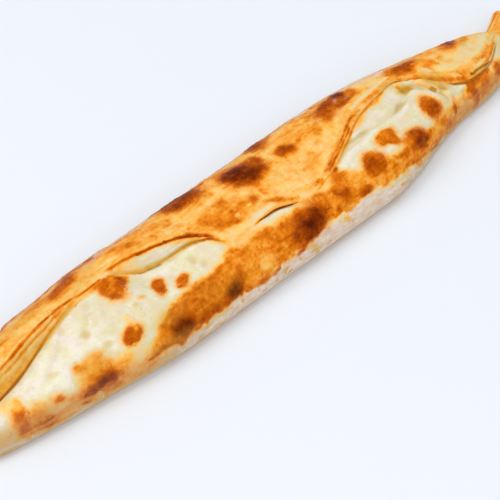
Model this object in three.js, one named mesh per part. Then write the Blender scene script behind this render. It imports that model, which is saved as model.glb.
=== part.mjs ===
// A closed pide: one sheet of dough folded over its filling and pinched at both ends.
// The back flap lies over the front panel; its edge wanders along the top and stands open in places.
// Millimetres. X runs along the loaf, Y across it with the flap's side at +Y, Z up, base at Z = 0.

import * as THREE from 'three';

// Sections along the loaf: [x, front half width, back half width, crown height, waist height].
const sections = [
  [-260, 3.5, 3.5, 8, 3.5],
  [-247, 10, 10, 13.5, 4.5],
  [-227, 19, 20, 19.5, 5.5],
  [-202, 27, 29, 25, 7],
  [-152, 35.5, 38, 30, 8],
  [-85, 43.5, 41.5, 32, 9],
  [-12, 44.5, 41.8, 32.5, 9],
  [78, 46.5, 42, 33, 9],
  [111, 41.5, 40.5, 32, 9],
  [134, 35, 37.5, 30.5, 8.5],
  [164, 29.5, 32, 27.5, 7.5],
  [194, 27.5, 26, 24.5, 7],
  [210, 25, 22.5, 22, 6.5],
  [223, 20.5, 17.5, 19.5, 6],
  [239, 10.8, 7.5, 15, 5.5],
  [252, 8.5, 7.5, 14.5, 5.5],
  [260, 2.5, 2.5, 7, 3],
];

// The spine, which curls back and up at the twisted far tip: [x, shift across, rise].
const spine = [
  [-260, 2.25, 4], [-247, 2.25, 1.5], [-227, 2.25, 0], [188, 2.25, 0], [213, 2.75, 0],
  [228, 5.25, 0], [240, 8.75, 1.2], [250, 13.25, 3], [260, 19.25, 6],
];
const shoulderPower = 2.5;
const crownPower = 1.9;
const sideTuck = 0.15;

// Where the flap's edge runs: [x, y from the spine].
const flapEdge = [
  [-260, 0], [-220, -1.5], [-187, 2.5], [-153, 9.5], [-129, 12.5], [-97, 14], [-83, 12],
  [-56, 3.5], [-45, -5], [-33, -18.5], [-2, -17], [24, -24], [50, -18.5], [70, -10], [93, 1],
  [119, 7], [134, 9.5], [151, -0.5], [166, -14.5], [180, -18.5], [200, -16.5], [225, -6.5], [260, 0],
];

// The edge is baked shut where it isn't open. An opening reaches its full size between the two
// stations in `full`: the edge lifts, steps down to the front panel and has a dark gap under it.
const sealed = { drop: 0.5, run: 1, gap: 0.15 };
const openings = [
  { start: -256, full: [-215, -178], end: -108, drop: 7.8, run: 8, gap: 2.9, undercut: 1.8, lift: 3 },
  { start: -106, full: [-82, -68], end: -42, drop: 6.5, run: 6, gap: 1.9, undercut: 1.4, lift: 2 },
  { start: -16, full: [-2, 6], end: 20, drop: 1.5, run: 0, gap: 1.7, undercut: 1.8, lift: 0.3 },
  { start: 42, full: [66, 125], end: 156, drop: 4.6, run: 0.8, gap: 1.3, undercut: 0.8, lift: 2.2 },
  { start: 158, full: [176, 208], end: 242, drop: 3, run: 0.4, gap: 2, undercut: 1.2, lift: 1.6 },
];

// The pale valley in front of the far opening, and the two long domes of the front panel.
const valley = { start: 42, full: [118, 128], end: 158, width: 16.5 };
const domes = [{ x: -115, reach: 115, height: 4 }, { x: 108, reach: 80, height: 3 }];

// Raised crust blisters on the front panel and the flap: [x, y, half length, half width, height].
const blisters = [
  [-188, -24, 10, 7, 0.7], [-146, -31.5, 12, 8, 1.1], [-117, -25.4, 8, 7, 1.2], [-104, 4.5, 11, 7, 0.8],
  [-90, -35, 9, 7, 1], [-88, -12.8, 8, 7, 0.9], [-51, -37, 8, 7, 0.9], [15, -34, 12, 9, 1.3],
  [73, -29, 10, 8, 1], [94, -21.6, 9, 7, 0.9], [113, -31.8, 10, 8, 1], [137, -19.2, 10, 8, 1],
  [-125, 28, 11, 7, 0.8], [-26, 28.4, 14, 8, 0.9], [9, 18.5, 15, 10, 1.3], [40, 15, 9, 7, 0.7],
  [94, 22.8, 16, 8, 1], [152, 17.7, 14, 8, 0.9],
];

// Ridges and creases in the skin: the points each passes, its half width, its height or depth.
const folds = [
  { path: [[-200, 30], [-165, 36], [-117, 39], [-84, 33]], reach: 4.5, height: 1.1 },
  { path: [[-205, 15], [-170, 21], [-135, 23.5], [-108, 20]], reach: 5, height: -0.9 },
  { path: [[128, 3], [141, 0], [153, -9]], reach: 4.5, height: -1.1 },
  { path: [[136, 15], [150, 9], [163, 3], [176, -4]], reach: 5, height: -0.9 },
  { path: [[148, 4], [158, 5.5], [167, 2]], reach: 5, height: 0.9 },
  { path: [[186, 8], [205, 2], [226, 6], [244, 12]], reach: 5, height: -1 },
  { path: [[153, -24], [161, -30]], reach: 5, height: -0.9 },
];

// Low swells of the hand-rolled dough: two crossed waves.
const waves = { slow: 0.35, quick: 0.2 };

const counts = { stations: 102, base: 4, side: 4, panel: 13, floor: 3, gap: 2, face: 3, lip: 2 };
const crust = { colour: '#d99a4e', roughness: 0.62 };

const loafStart = sections[0][0];
const loafEnd = sections[sections.length - 1][0];

// Smooth curve through one column of a list of rows; it never overshoots its own values.
function along(rows, x, column = 1) {
  const last = rows.length - 1;
  const clamped = Math.min(Math.max(x, rows[0][0]), rows[last][0]);
  let i = 0;
  while (i < last - 1 && clamped > rows[i + 1][0]) i += 1;
  const slope = (k) => (rows[k + 1][column] - rows[k][column]) / (rows[k + 1][0] - rows[k][0]);
  const tangent = (k) => {
    if (k === 0) return slope(0);
    if (k === last) return slope(last - 1);
    const before = slope(k - 1);
    const after = slope(k);
    return before * after <= 0 ? 0 : (2 * before * after) / (before + after);
  };
  const span = rows[i + 1][0] - rows[i][0];
  const t = (clamped - rows[i][0]) / span;
  return (1 + 2 * t) * (1 - t) ** 2 * rows[i][column] + t * (1 - t) ** 2 * span * tangent(i)
    + t * t * (3 - 2 * t) * rows[i + 1][column] + t * t * (t - 1) * span * tangent(i + 1);
}

function clamp(value, low, high) {
  return Math.min(Math.max(value, low), high);
}

function smoothStep(low, high, value) {
  const t = clamp((value - low) / (high - low), 0, 1);
  return t * t * (3 - 2 * t);
}

// How far open a stretch is at a station, from 0 to 1.
function openness(stretch, x) {
  return smoothStep(stretch.start, stretch.full[0], x) * (1 - smoothStep(stretch.full[1], stretch.end, x));
}

function opened(quantity, x) {
  return openings.reduce((sum, opening) => sum + opening[quantity] * openness(opening, x), 0);
}

// The domed envelope of one section: the point at an angle, and the angle above a given y.
function domePoint(size, angle) {
  const c = Math.cos(angle);
  const s = Math.abs(Math.sin(angle));
  const width = c < 0 ? size.front : size.back;
  const y = Math.sign(c) * Math.abs(c) ** (2 / shoulderPower) * width;
  return [y, size.waist + (size.crown - size.waist) * s ** (2 / crownPower)];
}

function domeAngle(size, y) {
  const ratio = clamp(y / (y < 0 ? size.front : size.back), -1, 1);
  return Math.acos(Math.sign(ratio) * Math.abs(ratio) ** (shoulderPower / 2));
}

function domeHeight(size, y) {
  return domePoint(size, domeAngle(size, y))[1];
}

function sectionSize(x) {
  const [front, back, crown, waist] = [1, 2, 3, 4].map((column) => along(sections, x, column));
  const scale = clamp(crown / 26, 0.25, 1);
  return {
    front, back, crown, waist, scale,
    edge: clamp(along(flapEdge, x), -0.8 * front, 0.8 * back),
    lift: opened('lift', x) * scale,
    drop: (sealed.drop + opened('drop', x)) * scale,
    run: (sealed.run + opened('run', x)) * scale,
    gap: (sealed.gap + opened('gap', x)) * scale,
    undercut: opened('undercut', x) * scale,
    valley: (1 + valley.width * openness(valley, x)) * scale,
    dome: domes.reduce((sum, d) => sum + d.height * (1 - smoothStep(0, d.reach, Math.abs(x - d.x))), 0),
  };
}

// Points the seam passes through, from the front panel's crease to just behind the flap's edge.
function seamAnchors(size) {
  const edgeZ = domeHeight(size, size.edge) + size.lift;
  const footY = size.edge - size.run;
  const footZ = edgeZ - size.drop;
  const creaseY = Math.max(footY - size.valley, -0.86 * size.front);
  const creaseTop = domeHeight(size, creaseY);
  const creaseZ = Math.min(creaseTop - 0.1, footZ + 0.12 * size.valley);
  const soft = clamp(size.drop, 0, 1);
  const behind = (offset, lift) => {
    const [y, z] = domePoint(size, domeAngle(size, size.edge + offset * size.scale));
    return [y, z + lift];
  };
  return {
    sag: creaseTop - creaseZ,
    creaseAngle: domeAngle(size, creaseY),
    points: [
      [creaseY, creaseZ],
      [footY - 0.9 * size.scale, footZ + 0.1],
      [footY + 0.3 * size.scale + size.undercut, footZ - size.gap],
      [footY + size.scale + 0.6 * size.undercut, footZ + 0.4 * size.gap + 0.4 * size.undercut],
      [size.edge - 0.25 * size.run - 0.2, edgeZ - 0.28 * size.drop - 0.3 * soft],
      [size.edge + 0.6, edgeZ + 0.1 * soft],
      behind(3.5, size.lift),
    ],
    beyond: behind(8, size.lift * 0.8),
  };
}

// One span of the seam, its tangents kept to the span's own length so that it can't loop.
function seamSpan(points, i, steps) {
  const [before, from, to, after] = points.slice(i, i + 4);
  const length = Math.hypot(to[0] - from[0], to[1] - from[1]);
  const tangent = (a, b) => {
    const full = Math.hypot(b[0] - a[0], b[1] - a[1]) + 1e-9;
    return [((b[0] - a[0]) / full) * length * 0.8, ((b[1] - a[1]) / full) * length * 0.8];
  };
  const start = tangent(before, to);
  const end = tangent(from, after);
  const out = [];
  for (let k = 1; k <= steps; k += 1) {
    const t = k / steps;
    const blend = (axis) => (1 + 2 * t) * (1 - t) ** 2 * from[axis] + t * (1 - t) ** 2 * start[axis]
      + t * t * (3 - 2 * t) * to[axis] + t * t * (t - 1) * end[axis];
    out.push([blend(0), blend(1)]);
  }
  return out;
}

function frontHalf(size, seam) {
  const out = [];
  for (let i = 0; i < counts.base; i += 1) {
    out.push([-(1 - sideTuck) * size.front * (i / counts.base), 0]);
  }
  for (let i = 0; i < counts.side; i += 1) {
    const angle = (i / counts.side) * (Math.PI / 2);
    out.push([-size.front * (1 - sideTuck + sideTuck * Math.sin(angle)), size.waist * (1 - Math.cos(angle))]);
  }
  for (let i = 0; i <= counts.panel; i += 1) {
    const s = i / counts.panel;
    const [y, z] = domePoint(size, Math.PI + (seam.creaseAngle - Math.PI) * s);
    const sag = seam.sag * smoothStep(0.35, 1, s) ** 1.3;
    const bulge = Math.max(Math.sin(Math.PI * clamp((s - 0.25) / 0.75, 0, 1)), 0) ** 1.5;
    out.push([y, z - sag + 0.8 * size.dome * bulge]);
  }
  return out;
}

function backHalf(size) {
  const out = [];
  const start = domeAngle(size, size.edge + 3.5 * size.scale);
  for (let i = 1; i <= counts.panel; i += 1) {
    const s = i / counts.panel;
    const [y, z] = domePoint(size, start * (1 - s));
    out.push([y, z + size.lift * (1 - smoothStep(0, 0.6, s))]);
  }
  for (let i = 1; i <= counts.side; i += 1) {
    const angle = (1 - i / counts.side) * (Math.PI / 2);
    out.push([size.back * (1 - sideTuck + sideTuck * Math.sin(angle)), size.waist * (1 - Math.cos(angle))]);
  }
  for (let i = 1; i < counts.base; i += 1) {
    out.push([(1 - sideTuck) * size.back * (1 - i / counts.base), 0]);
  }
  return out;
}

function sectionRing(x) {
  const size = sectionSize(x);
  const seam = seamAnchors(size);
  const front = frontHalf(size, seam);
  const spline = [front[front.length - 2], ...seam.points, seam.beyond];
  const steps = [counts.floor, counts.gap, counts.gap, counts.face, counts.lip, counts.lip];
  const middle = steps.flatMap((n, i) => seamSpan(spline, i, n));
  return [...front, ...middle, ...backHalf(size)];
}

// Stations sit closer together towards the two pinched ends.
function stationAt(i) {
  const even = i / (counts.stations - 1);
  const eased = even - 0.038 * Math.sin(2 * Math.PI * even);
  return loafStart + (loafEnd - loafStart) * eased;
}

function closeEnd(positions, indices, station, around, far) {
  const first = station * around;
  const centre = [0, 0, 0];
  for (let j = 0; j < around; j += 1) {
    for (let axis = 0; axis < 3; axis += 1) centre[axis] += positions[(first + j) * 3 + axis] / around;
  }
  const tip = positions.length / 3;
  positions.push(...centre);
  for (let j = 0; j < around; j += 1) {
    const a = first + j;
    const b = first + ((j + 1) % around);
    if (far) indices.push(a, tip, b);
    else indices.push(a, b, tip);
  }
}

function loafSurface() {
  const positions = [];
  const indices = [];
  const rings = Array.from({ length: counts.stations }, (_, i) => sectionRing(stationAt(i)));
  const around = rings[0].length;
  rings.forEach((ring, i) => {
    const x = stationAt(i);
    ring.forEach(([y, z]) => positions.push(x, y + along(spine, x, 1), z + along(spine, x, 2)));
  });
  for (let i = 0; i < counts.stations - 1; i += 1) {
    for (let j = 0; j < around; j += 1) {
      const a = i * around + j;
      const b = i * around + ((j + 1) % around);
      indices.push(a, a + around, b + around, a, b + around, b);
    }
  }
  closeEnd(positions, indices, 0, around, false);
  closeEnd(positions, indices, counts.stations - 1, around, true);
  const surface = new THREE.BufferGeometry();
  surface.setAttribute('position', new THREE.Float32BufferAttribute(positions, 3));
  surface.setIndex(indices);
  surface.computeVertexNormals();
  return surface;
}

// Each blister sits on the upper skin at its own x and y.
function seatedBlisters(points) {
  return blisters.map(([x, y, halfLength, halfWidth, height]) => {
    const reach = (point) => (point.z > 9 ? Math.hypot(point.x - x, point.y - y) : Infinity);
    const seat = points.reduce((best, point) => (reach(point) < reach(best) ? point : best)).clone();
    return { seat, halfLength, halfWidth, height };
  });
}

function bump(distance, height) {
  return distance < 1 ? height * (1 - distance * distance) ** 2 : 0;
}

function blisterRise(point, seated) {
  return seated.reduce((rise, { seat, halfLength, halfWidth, height }) => {
    const across = Math.hypot(point.y - seat.y, point.z - seat.z);
    return rise + bump(Math.hypot((point.x - seat.x) / halfLength, across / halfWidth), height);
  }, 0);
}

function distanceToPath(point, path) {
  let nearest = Infinity;
  for (let i = 0; i < path.length - 1; i += 1) {
    const [ax, ay] = path[i];
    const [dx, dy] = [path[i + 1][0] - ax, path[i + 1][1] - ay];
    const t = clamp(((point.x - ax) * dx + (point.y - ay) * dy) / (dx * dx + dy * dy), 0, 1);
    nearest = Math.min(nearest, Math.hypot(point.x - ax - t * dx, point.y - ay - t * dy));
  }
  return nearest;
}

function foldRise(point) {
  return folds.reduce((rise, fold) => (
    rise + bump(distanceToPath(point, fold.path) / fold.reach, fold.height)
  ), 0);
}

function waveRise(point) {
  const slow = Math.sin(point.x * 0.061 + 1.3) * Math.sin(point.y * 0.11 + point.x * 0.017);
  const quick = Math.sin(point.x * 0.173 - point.y * 0.09) * Math.sin(point.y * 0.21 + 0.6);
  return waves.slow * slow + waves.quick * quick;
}

// Relief fades out towards the base and the two tips, which stay as the sections make them.
function addRelief(surface) {
  const position = surface.getAttribute('position');
  const normal = surface.getAttribute('normal');
  const indices = Array.from({ length: position.count }, (_, i) => i);
  const points = indices.map((i) => new THREE.Vector3().fromBufferAttribute(position, i));
  const seated = seatedBlisters(points);
  points.forEach((point, i) => {
    const upper = smoothStep(10, 18, point.z);
    const inward = smoothStep(0, 12, Math.min(point.x - loafStart, loafEnd - point.x));
    const rise = upper * inward * (blisterRise(point, seated) + foldRise(point) + waveRise(point));
    point.addScaledVector(new THREE.Vector3().fromBufferAttribute(normal, i), rise);
    position.setXYZ(i, point.x, point.y, point.z);
  });
  surface.computeVertexNormals();
}

const surface = loafSurface();
addRelief(surface);

const pide = new THREE.Mesh(
  surface,
  new THREE.MeshStandardMaterial({ color: crust.colour, roughness: crust.roughness, metalness: 0 }),
);
pide.name = 'pide';

const model = new THREE.Group();
model.name = 'closed_pide';
model.add(pide);

export default model;
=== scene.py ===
import math

import bpy
import numpy as np
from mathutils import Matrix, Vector


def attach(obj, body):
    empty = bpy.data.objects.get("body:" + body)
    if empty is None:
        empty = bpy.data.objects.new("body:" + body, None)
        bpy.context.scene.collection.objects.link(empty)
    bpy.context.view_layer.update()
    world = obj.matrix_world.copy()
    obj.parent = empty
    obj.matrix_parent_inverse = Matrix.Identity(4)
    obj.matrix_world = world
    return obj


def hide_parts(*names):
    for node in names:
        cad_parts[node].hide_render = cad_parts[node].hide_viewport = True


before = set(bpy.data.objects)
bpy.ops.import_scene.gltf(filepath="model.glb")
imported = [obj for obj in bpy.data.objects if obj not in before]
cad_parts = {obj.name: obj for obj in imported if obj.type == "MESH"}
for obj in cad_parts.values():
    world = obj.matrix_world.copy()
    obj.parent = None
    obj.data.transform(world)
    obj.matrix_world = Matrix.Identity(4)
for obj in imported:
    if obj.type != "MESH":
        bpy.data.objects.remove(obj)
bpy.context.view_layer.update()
print("frame loaded:", list(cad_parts))

mm = 0.001

# Lengths in millimetres. x runs along the loaf, y across it (flap at +y), z up.
# "front" is the lower panel on the -y side, "flap" is the sheet folded over it from the back.

loaf = {
    "stations": 490,
    # x, front half width, back half width, crown height, waist height
    "sections": [
        (-260, 3.5, 3.5, 8, 3.5), (-247, 10, 10, 13.5, 4.5), (-227, 19, 20, 19.5, 5.5),
        (-202, 27, 29, 25, 7), (-152, 35.5, 38, 30, 8), (-85, 43.5, 41.5, 32, 9),
        (-12, 44.5, 41.8, 32.5, 9), (78, 46.5, 42, 33, 9), (111, 41.5, 40.5, 32, 9),
        (134, 35, 37.5, 30.5, 8.5), (164, 29.5, 32, 27.5, 7.5), (194, 27.5, 26, 24.5, 7),
        (210, 25, 22.5, 22, 6.5), (223, 20.5, 17.5, 19.5, 6), (239, 10.8, 7.5, 15, 5.5),
        (252, 8.5, 7.5, 14.5, 5.5), (260, 2.5, 2.5, 7, 3),
    ],
    # x, shift across, rise: the far tip is twisted back and up
    "spine": [
        (-260, 2.25, 4), (-247, 2.25, 1.5), (-227, 2.25, 0), (188, 2.25, 0), (213, 2.75, 0),
        (228, 5.25, 0), (240, 8.75, 1.2), (250, 13.25, 3), (260, 19.25, 6),
    ],
    # x, y of the flap's edge
    "edge": [
        (-260, 0), (-220, -1.5), (-187, 2.5), (-153, 9.5), (-129, 12.5), (-97, 13.4), (-83, 10.6),
        (-56, 2.6), (-45, -5), (-33, -18.5), (-2, -17), (24, -24), (50, -18.5), (70, -10),
        (93, 1), (119, 7), (134, 9.5), (151, -0.5), (166, -14.5), (180, -18.5), (200, -16.5),
        (225, -6.5), (260, 0),
    ],
    "fullCrown": 26,  # the folds are smaller where the crown is lower than this
    "shoulder": 2.5,
    "crown": 1.9,
    "tuck": 0.15,
    "sealedDrop": 0.14,
    "sealedRun": 1.4,
    "sealedDips": [0.02, 0.05, 0.14, 0.10, 0.04, 0, 0],
    # start, full from, full to, end, drop, run, gap, undercut, lift
    "openings": [
        (-256, -215, -188, -110, 7.8, 7.4, 0.2, 0, 3.0),
        (-256, -220, -195, -142, 0, 0, 1.4, 0.8, 0),
        (-106, -84, -74, -38, 6.5, 5.4, 0.1, 0, 2.0),
        (-80, -64, -56, -38, 0, 0, 0.3, 0.2, 0),
        (-18, -4, 8, 21, 1.1, 0, 0.9, 1.2, 0.3),
        (42, 66, 125, 156, 1.35, -0.15, 0.1, 0, 1.3),
        (128, 138, 152, 166, 0, 0, 1.0, 0.7, 0),
        (158, 176, 208, 242, 3.0, 0.4, 1.3, 0.9, 1.6),
    ],
    "valley": (42, 118, 128, 158, 16.5),
    # x, reach, height of the front panel's two long domes
    "domes": [(-115, 115, 4.0), (108, 80, 3.0)],
    # quads across each part of a section
    "across": {"base": 6, "side": 9, "panel": 58, "floor": 12, "gap": 6, "face": 12, "lip": 8, "flap": 58},
}


def along(rows, x, column=1):  # smooth curve through one column of the rows, never past its values
    knots = np.array([row[0] for row in rows], float)
    values = np.array([row[column] for row in rows], float)
    slopes = np.diff(values) / np.diff(knots)
    tangents = np.concatenate([slopes[:1], np.zeros(len(slopes) - 1), slopes[-1:]])
    same = slopes[:-1] * slopes[1:] > 0
    inner = np.zeros(len(slopes) - 1)
    inner[same] = 2 * (slopes[:-1] * slopes[1:])[same] / (slopes[:-1] + slopes[1:])[same]
    tangents[1:-1] = inner
    x = np.clip(x, knots[0], knots[-1])
    i = np.clip(np.searchsorted(knots, x, side="right") - 1, 0, len(knots) - 2)
    span = knots[i + 1] - knots[i]
    t = (x - knots[i]) / span
    return ((1 + 2 * t) * (1 - t) ** 2 * values[i] + t * (1 - t) ** 2 * span * tangents[i]
            + t * t * (3 - 2 * t) * values[i + 1] + t * t * (t - 1) * span * tangents[i + 1])


def ease(low, high, value):
    t = np.clip((value - low) / (high - low), 0, 1)
    return t * t * (3 - 2 * t)


def openness(stretch, x):
    start, fullFrom, fullTo, end = stretch[:4]
    return ease(start, fullFrom, x) * (1 - ease(fullTo, end, x))


def opened(column, x):
    return sum(row[column] * openness(row, x) for row in loaf["openings"])


def domePoint(size, angle):
    c, s = np.cos(angle), np.abs(np.sin(angle))
    width = np.where(c < 0, size["front"], size["back"])
    y = np.sign(c) * np.abs(c) ** (2 / loaf["shoulder"]) * width
    return y, size["waist"] + (size["crown"] - size["waist"]) * s ** (2 / loaf["crown"])


def domeAngle(size, y):
    ratio = np.clip(y / np.where(y < 0, size["front"], size["back"]), -1, 1)
    return np.arccos(np.sign(ratio) * np.abs(ratio) ** (loaf["shoulder"] / 2))


def domeHeight(size, y):
    return domePoint(size, domeAngle(size, y))[1]


def sectionSizes(x):
    names = ["front", "back", "crown", "waist"]
    size = {name: along(loaf["sections"], x, i + 1) for i, name in enumerate(names)}
    scale = np.clip(size["crown"] / loaf["fullCrown"], 0.25, 1)
    size.update({
        "scale": scale,
        "edge": np.clip(along(loaf["edge"], x), -0.8 * size["front"], 0.8 * size["back"]),
        "drop": (loaf["sealedDrop"] + opened(4, x)) * scale,
        "run": (loaf["sealedRun"] + opened(5, x)) * scale,
        "gap": opened(6, x) * scale,
        "undercut": opened(7, x) * scale,
        "lift": opened(8, x) * scale,
        "valley": (1 + loaf["valley"][4] * openness(loaf["valley"], x)) * scale,
        "dome": sum(h * (1 - ease(0, reach, np.abs(x - at))) for at, reach, h in loaf["domes"]),
    })
    return size


def seamAnchors(size):  # from the front panel's crease, through the gap, to just behind the flap's edge
    edgeZ = domeHeight(size, size["edge"]) + size["lift"]
    closed = 1 - ease(0.3, 1.4, size["drop"])
    footY, footZ = size["edge"] - size["run"], edgeZ - size["drop"]
    creaseY = np.maximum(footY - size["valley"], -0.86 * size["front"])
    creaseTop = domeHeight(size, creaseY)
    creaseZ = np.minimum(creaseTop - 0.1, footZ + 0.12 * size["valley"])
    creaseZ = creaseZ + (creaseTop - loaf["sealedDips"][0] - creaseZ) * closed
    soft = np.clip(size["drop"], 0, 1)
    scale, under, gap = size["scale"], size["undercut"], size["gap"]

    def behind(offset, lift):
        y, z = domePoint(size, domeAngle(size, size["edge"] + offset * scale))
        return y, z + lift

    anchors = [
        (creaseY, creaseZ),
        (footY - (0.9 - 0.4 * closed) * scale, footZ + 0.1 * soft),
        (footY + 0.3 * scale + under, footZ - gap),
        (footY + (1 - 0.35 * closed) * scale + 0.6 * under, footZ + 0.4 * gap + 0.4 * under),
        (size["edge"] - 0.25 * size["run"] - 0.2 + 0.3 * closed * scale,
         edgeZ - 0.28 * size["drop"] - 0.3 * soft),
        (size["edge"] + 0.6, edgeZ + 0.1 * soft),
        behind(3.5, size["lift"]),
    ]
    # where the seam is closed it lies in the dome, with a shallow dip
    anchors = [np.array((y, z + (domeHeight(size, y) - dip - z) * closed))
               for (y, z), dip in zip(anchors, loaf["sealedDips"])]
    return anchors, np.array(behind(8, size["lift"] * 0.8)), creaseTop - creaseZ, creaseY


def seamSpan(before, start, end, after, steps):
    length = np.linalg.norm(end - start, axis=0)
    startPull = (end - before) / (np.linalg.norm(end - before, axis=0) + 1e-9) * length * 0.8
    endPull = (after - start) / (np.linalg.norm(after - start, axis=0) + 1e-9) * length * 0.8
    for k in range(1, steps + 1):
        t = k / steps
        yield ((1 + 2 * t) * (1 - t) ** 2 * start + t * (1 - t) ** 2 * startPull
               + t * t * (3 - 2 * t) * end + t * t * (t - 1) * endPull)


def rollDough():  # the smooth loaf: points by station and column, and where its parts begin
    x = np.linspace(loaf["sections"][0][0], loaf["sections"][-1][0], loaf["stations"])
    size = sectionSizes(x)
    anchors, beyond, sagDepth, creaseY = seamAnchors(size)
    n, tuck = loaf["across"], loaf["tuck"]
    columns, marks = [], {}

    def sidePoint(width, turn):  # from the underside (0) up to the waist (1)
        a = turn * math.pi / 2
        return width * (1 - tuck + tuck * math.sin(a)), size["waist"] * (1 - math.cos(a))

    for i in range(n["base"]):
        columns.append((-(1 - tuck) * size["front"] * i / n["base"], 0 * x))
    for i in range(n["side"]):
        columns.append(sidePoint(-size["front"], i / n["side"]))
    marks["frontWaist"] = len(columns)
    creaseAngle = domeAngle(size, creaseY)
    for i in range(n["panel"] + 1):
        s = i / n["panel"]
        y, z = domePoint(size, math.pi + (creaseAngle - math.pi) * s)
        bulge = max(math.sin(math.pi * min(max((s - 0.25) / 0.75, 0), 1)), 0) ** 1.5
        columns.append((y, z - sagDepth * ease(0.35, 1, s) ** 1.3 + 0.8 * size["dome"] * bulge))
    marks["crease"] = len(columns) - 1

    line = [np.array(columns[-2])] + anchors + [beyond]
    parts = (("floor", "floor"), ("gap", "gap"), ("foot", "gap"),
             ("face", "face"), ("edge", "lip"), ("top", "lip"))
    for i, (mark, count) in enumerate(parts):
        columns.extend((p[0], p[1]) for p in seamSpan(*line[i:i + 4], n[count]))
        marks[mark] = len(columns) - 1

    flapStart = domeAngle(size, size["edge"] + 3.5 * size["scale"])
    for i in range(1, n["flap"] + 1):
        s = i / n["flap"]
        y, z = domePoint(size, flapStart * (1 - s))
        columns.append((y, z + size["lift"] * (1 - ease(0, 0.6, s))))
    marks["backWaist"] = len(columns) - 1
    for i in range(1, n["side"] + 1):
        columns.append(sidePoint(size["back"], 1 - i / n["side"]))
    for i in range(1, n["base"]):
        columns.append(((1 - tuck) * size["back"] * (1 - i / n["base"]), 0 * x))

    y = np.stack([c[0] for c in columns], 1) + along(loaf["spine"], x, 1)[:, None]
    z = np.stack([c[1] for c in columns], 1) + along(loaf["spine"], x, 2)[:, None]
    points = np.stack([np.repeat(x[:, None], y.shape[1], 1), y, z], -1)
    return points, marks, size


def skinNormals(points):
    alongX = np.gradient(points, axis=0)
    ring = np.concatenate([points[:, -1:], points, points[:, :1]], 1)
    around = ring[:, 2:] - ring[:, :-2]
    normals = np.cross(around, alongX)
    return normals / (np.linalg.norm(normals, axis=-1, keepdims=True) + 1e-9)


points, marks, size = rollDough()
normals = skinNormals(points)
if ((points - points.mean(1, keepdims=True)) * normals).sum() < 0:  # they point outwards
    normals = -normals

# Distances over the skin: v rises from each side's waist to the seam, lipDistance is measured
# from the flap's edge (below it negative, on top of the flap positive).
steps = np.linalg.norm(np.diff(points, axis=1), axis=-1)
arc = np.concatenate([np.zeros((len(points), 1)), np.cumsum(steps, 1)], 1)
isFlap = np.repeat((np.arange(points.shape[1]) > marks["gap"])[None], len(points), 0)
vFront = arc - arc[:, marks["frontWaist"], None]
vFlap = arc[:, marks["backWaist"], None] - arc
skinX = points[..., 0]
skinV = np.where(isFlap, vFlap, vFront)
lipDistance = arc - arc[:, marks["edge"], None]
gapDistance = np.abs(arc - arc[:, marks["gap"], None])
endDistance = np.minimum(skinX - skinX[0, 0], skinX[-1, 0] - skinX)
print("dough rolled:", points.shape, marks)


def dapple(place, size, seed):  # smooth lumps about this many millimetres across, from -1 to 1
    grid = place / size
    base = np.floor(grid).astype(np.int64)
    part = grid - base
    part = part * part * (3 - 2 * part)
    total = np.zeros(place.shape[:-1])
    for corner in range(8):
        step = np.array([corner & 1, corner >> 1 & 1, corner >> 2 & 1])
        cell = base + step
        mix = (cell[..., 0] * 73856093) ^ (cell[..., 1] * 19349663)
        mix = mix ^ (cell[..., 2] * 83492791) ^ (seed * 2654435)
        mix = ((mix ^ (mix >> 13)) * 1274126177) & 0x7FFFFFFF
        mix = (mix ^ (mix >> 15)) & 0xFFFF
        total += (mix / 32767.5 - 1) * np.prod(np.where(step == 1, part, 1 - part), axis=-1)
    return total


def layered(place, size, seed, octaves=3):
    return sum(dapple(place, size / 2 ** k, seed + k) / 2 ** k for k in range(octaves)) / 1.6


# Streaks follow the stretch of the dough: long along x, short across it.
flow = np.stack([skinX, skinV, 0 * skinX], -1)


def streaks(length, width, seed):
    return layered(flow / np.array([length, width, 10.0]), 1.0, seed)


def fleckMask(size, seed):  # scattered flecks, bare skin between them
    return ease(0.22, 0.62, layered(points, size, seed))


# A patch is x, v, half length, half width, tilt in degrees, strength, crispness of the edge, and how
# far the skin stands up in mm. A row left short has crispness 0.3 and no rise.
def patches(rows):
    return [row + (0.3, 0)[len(row) - 6:] for row in rows]


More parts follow.
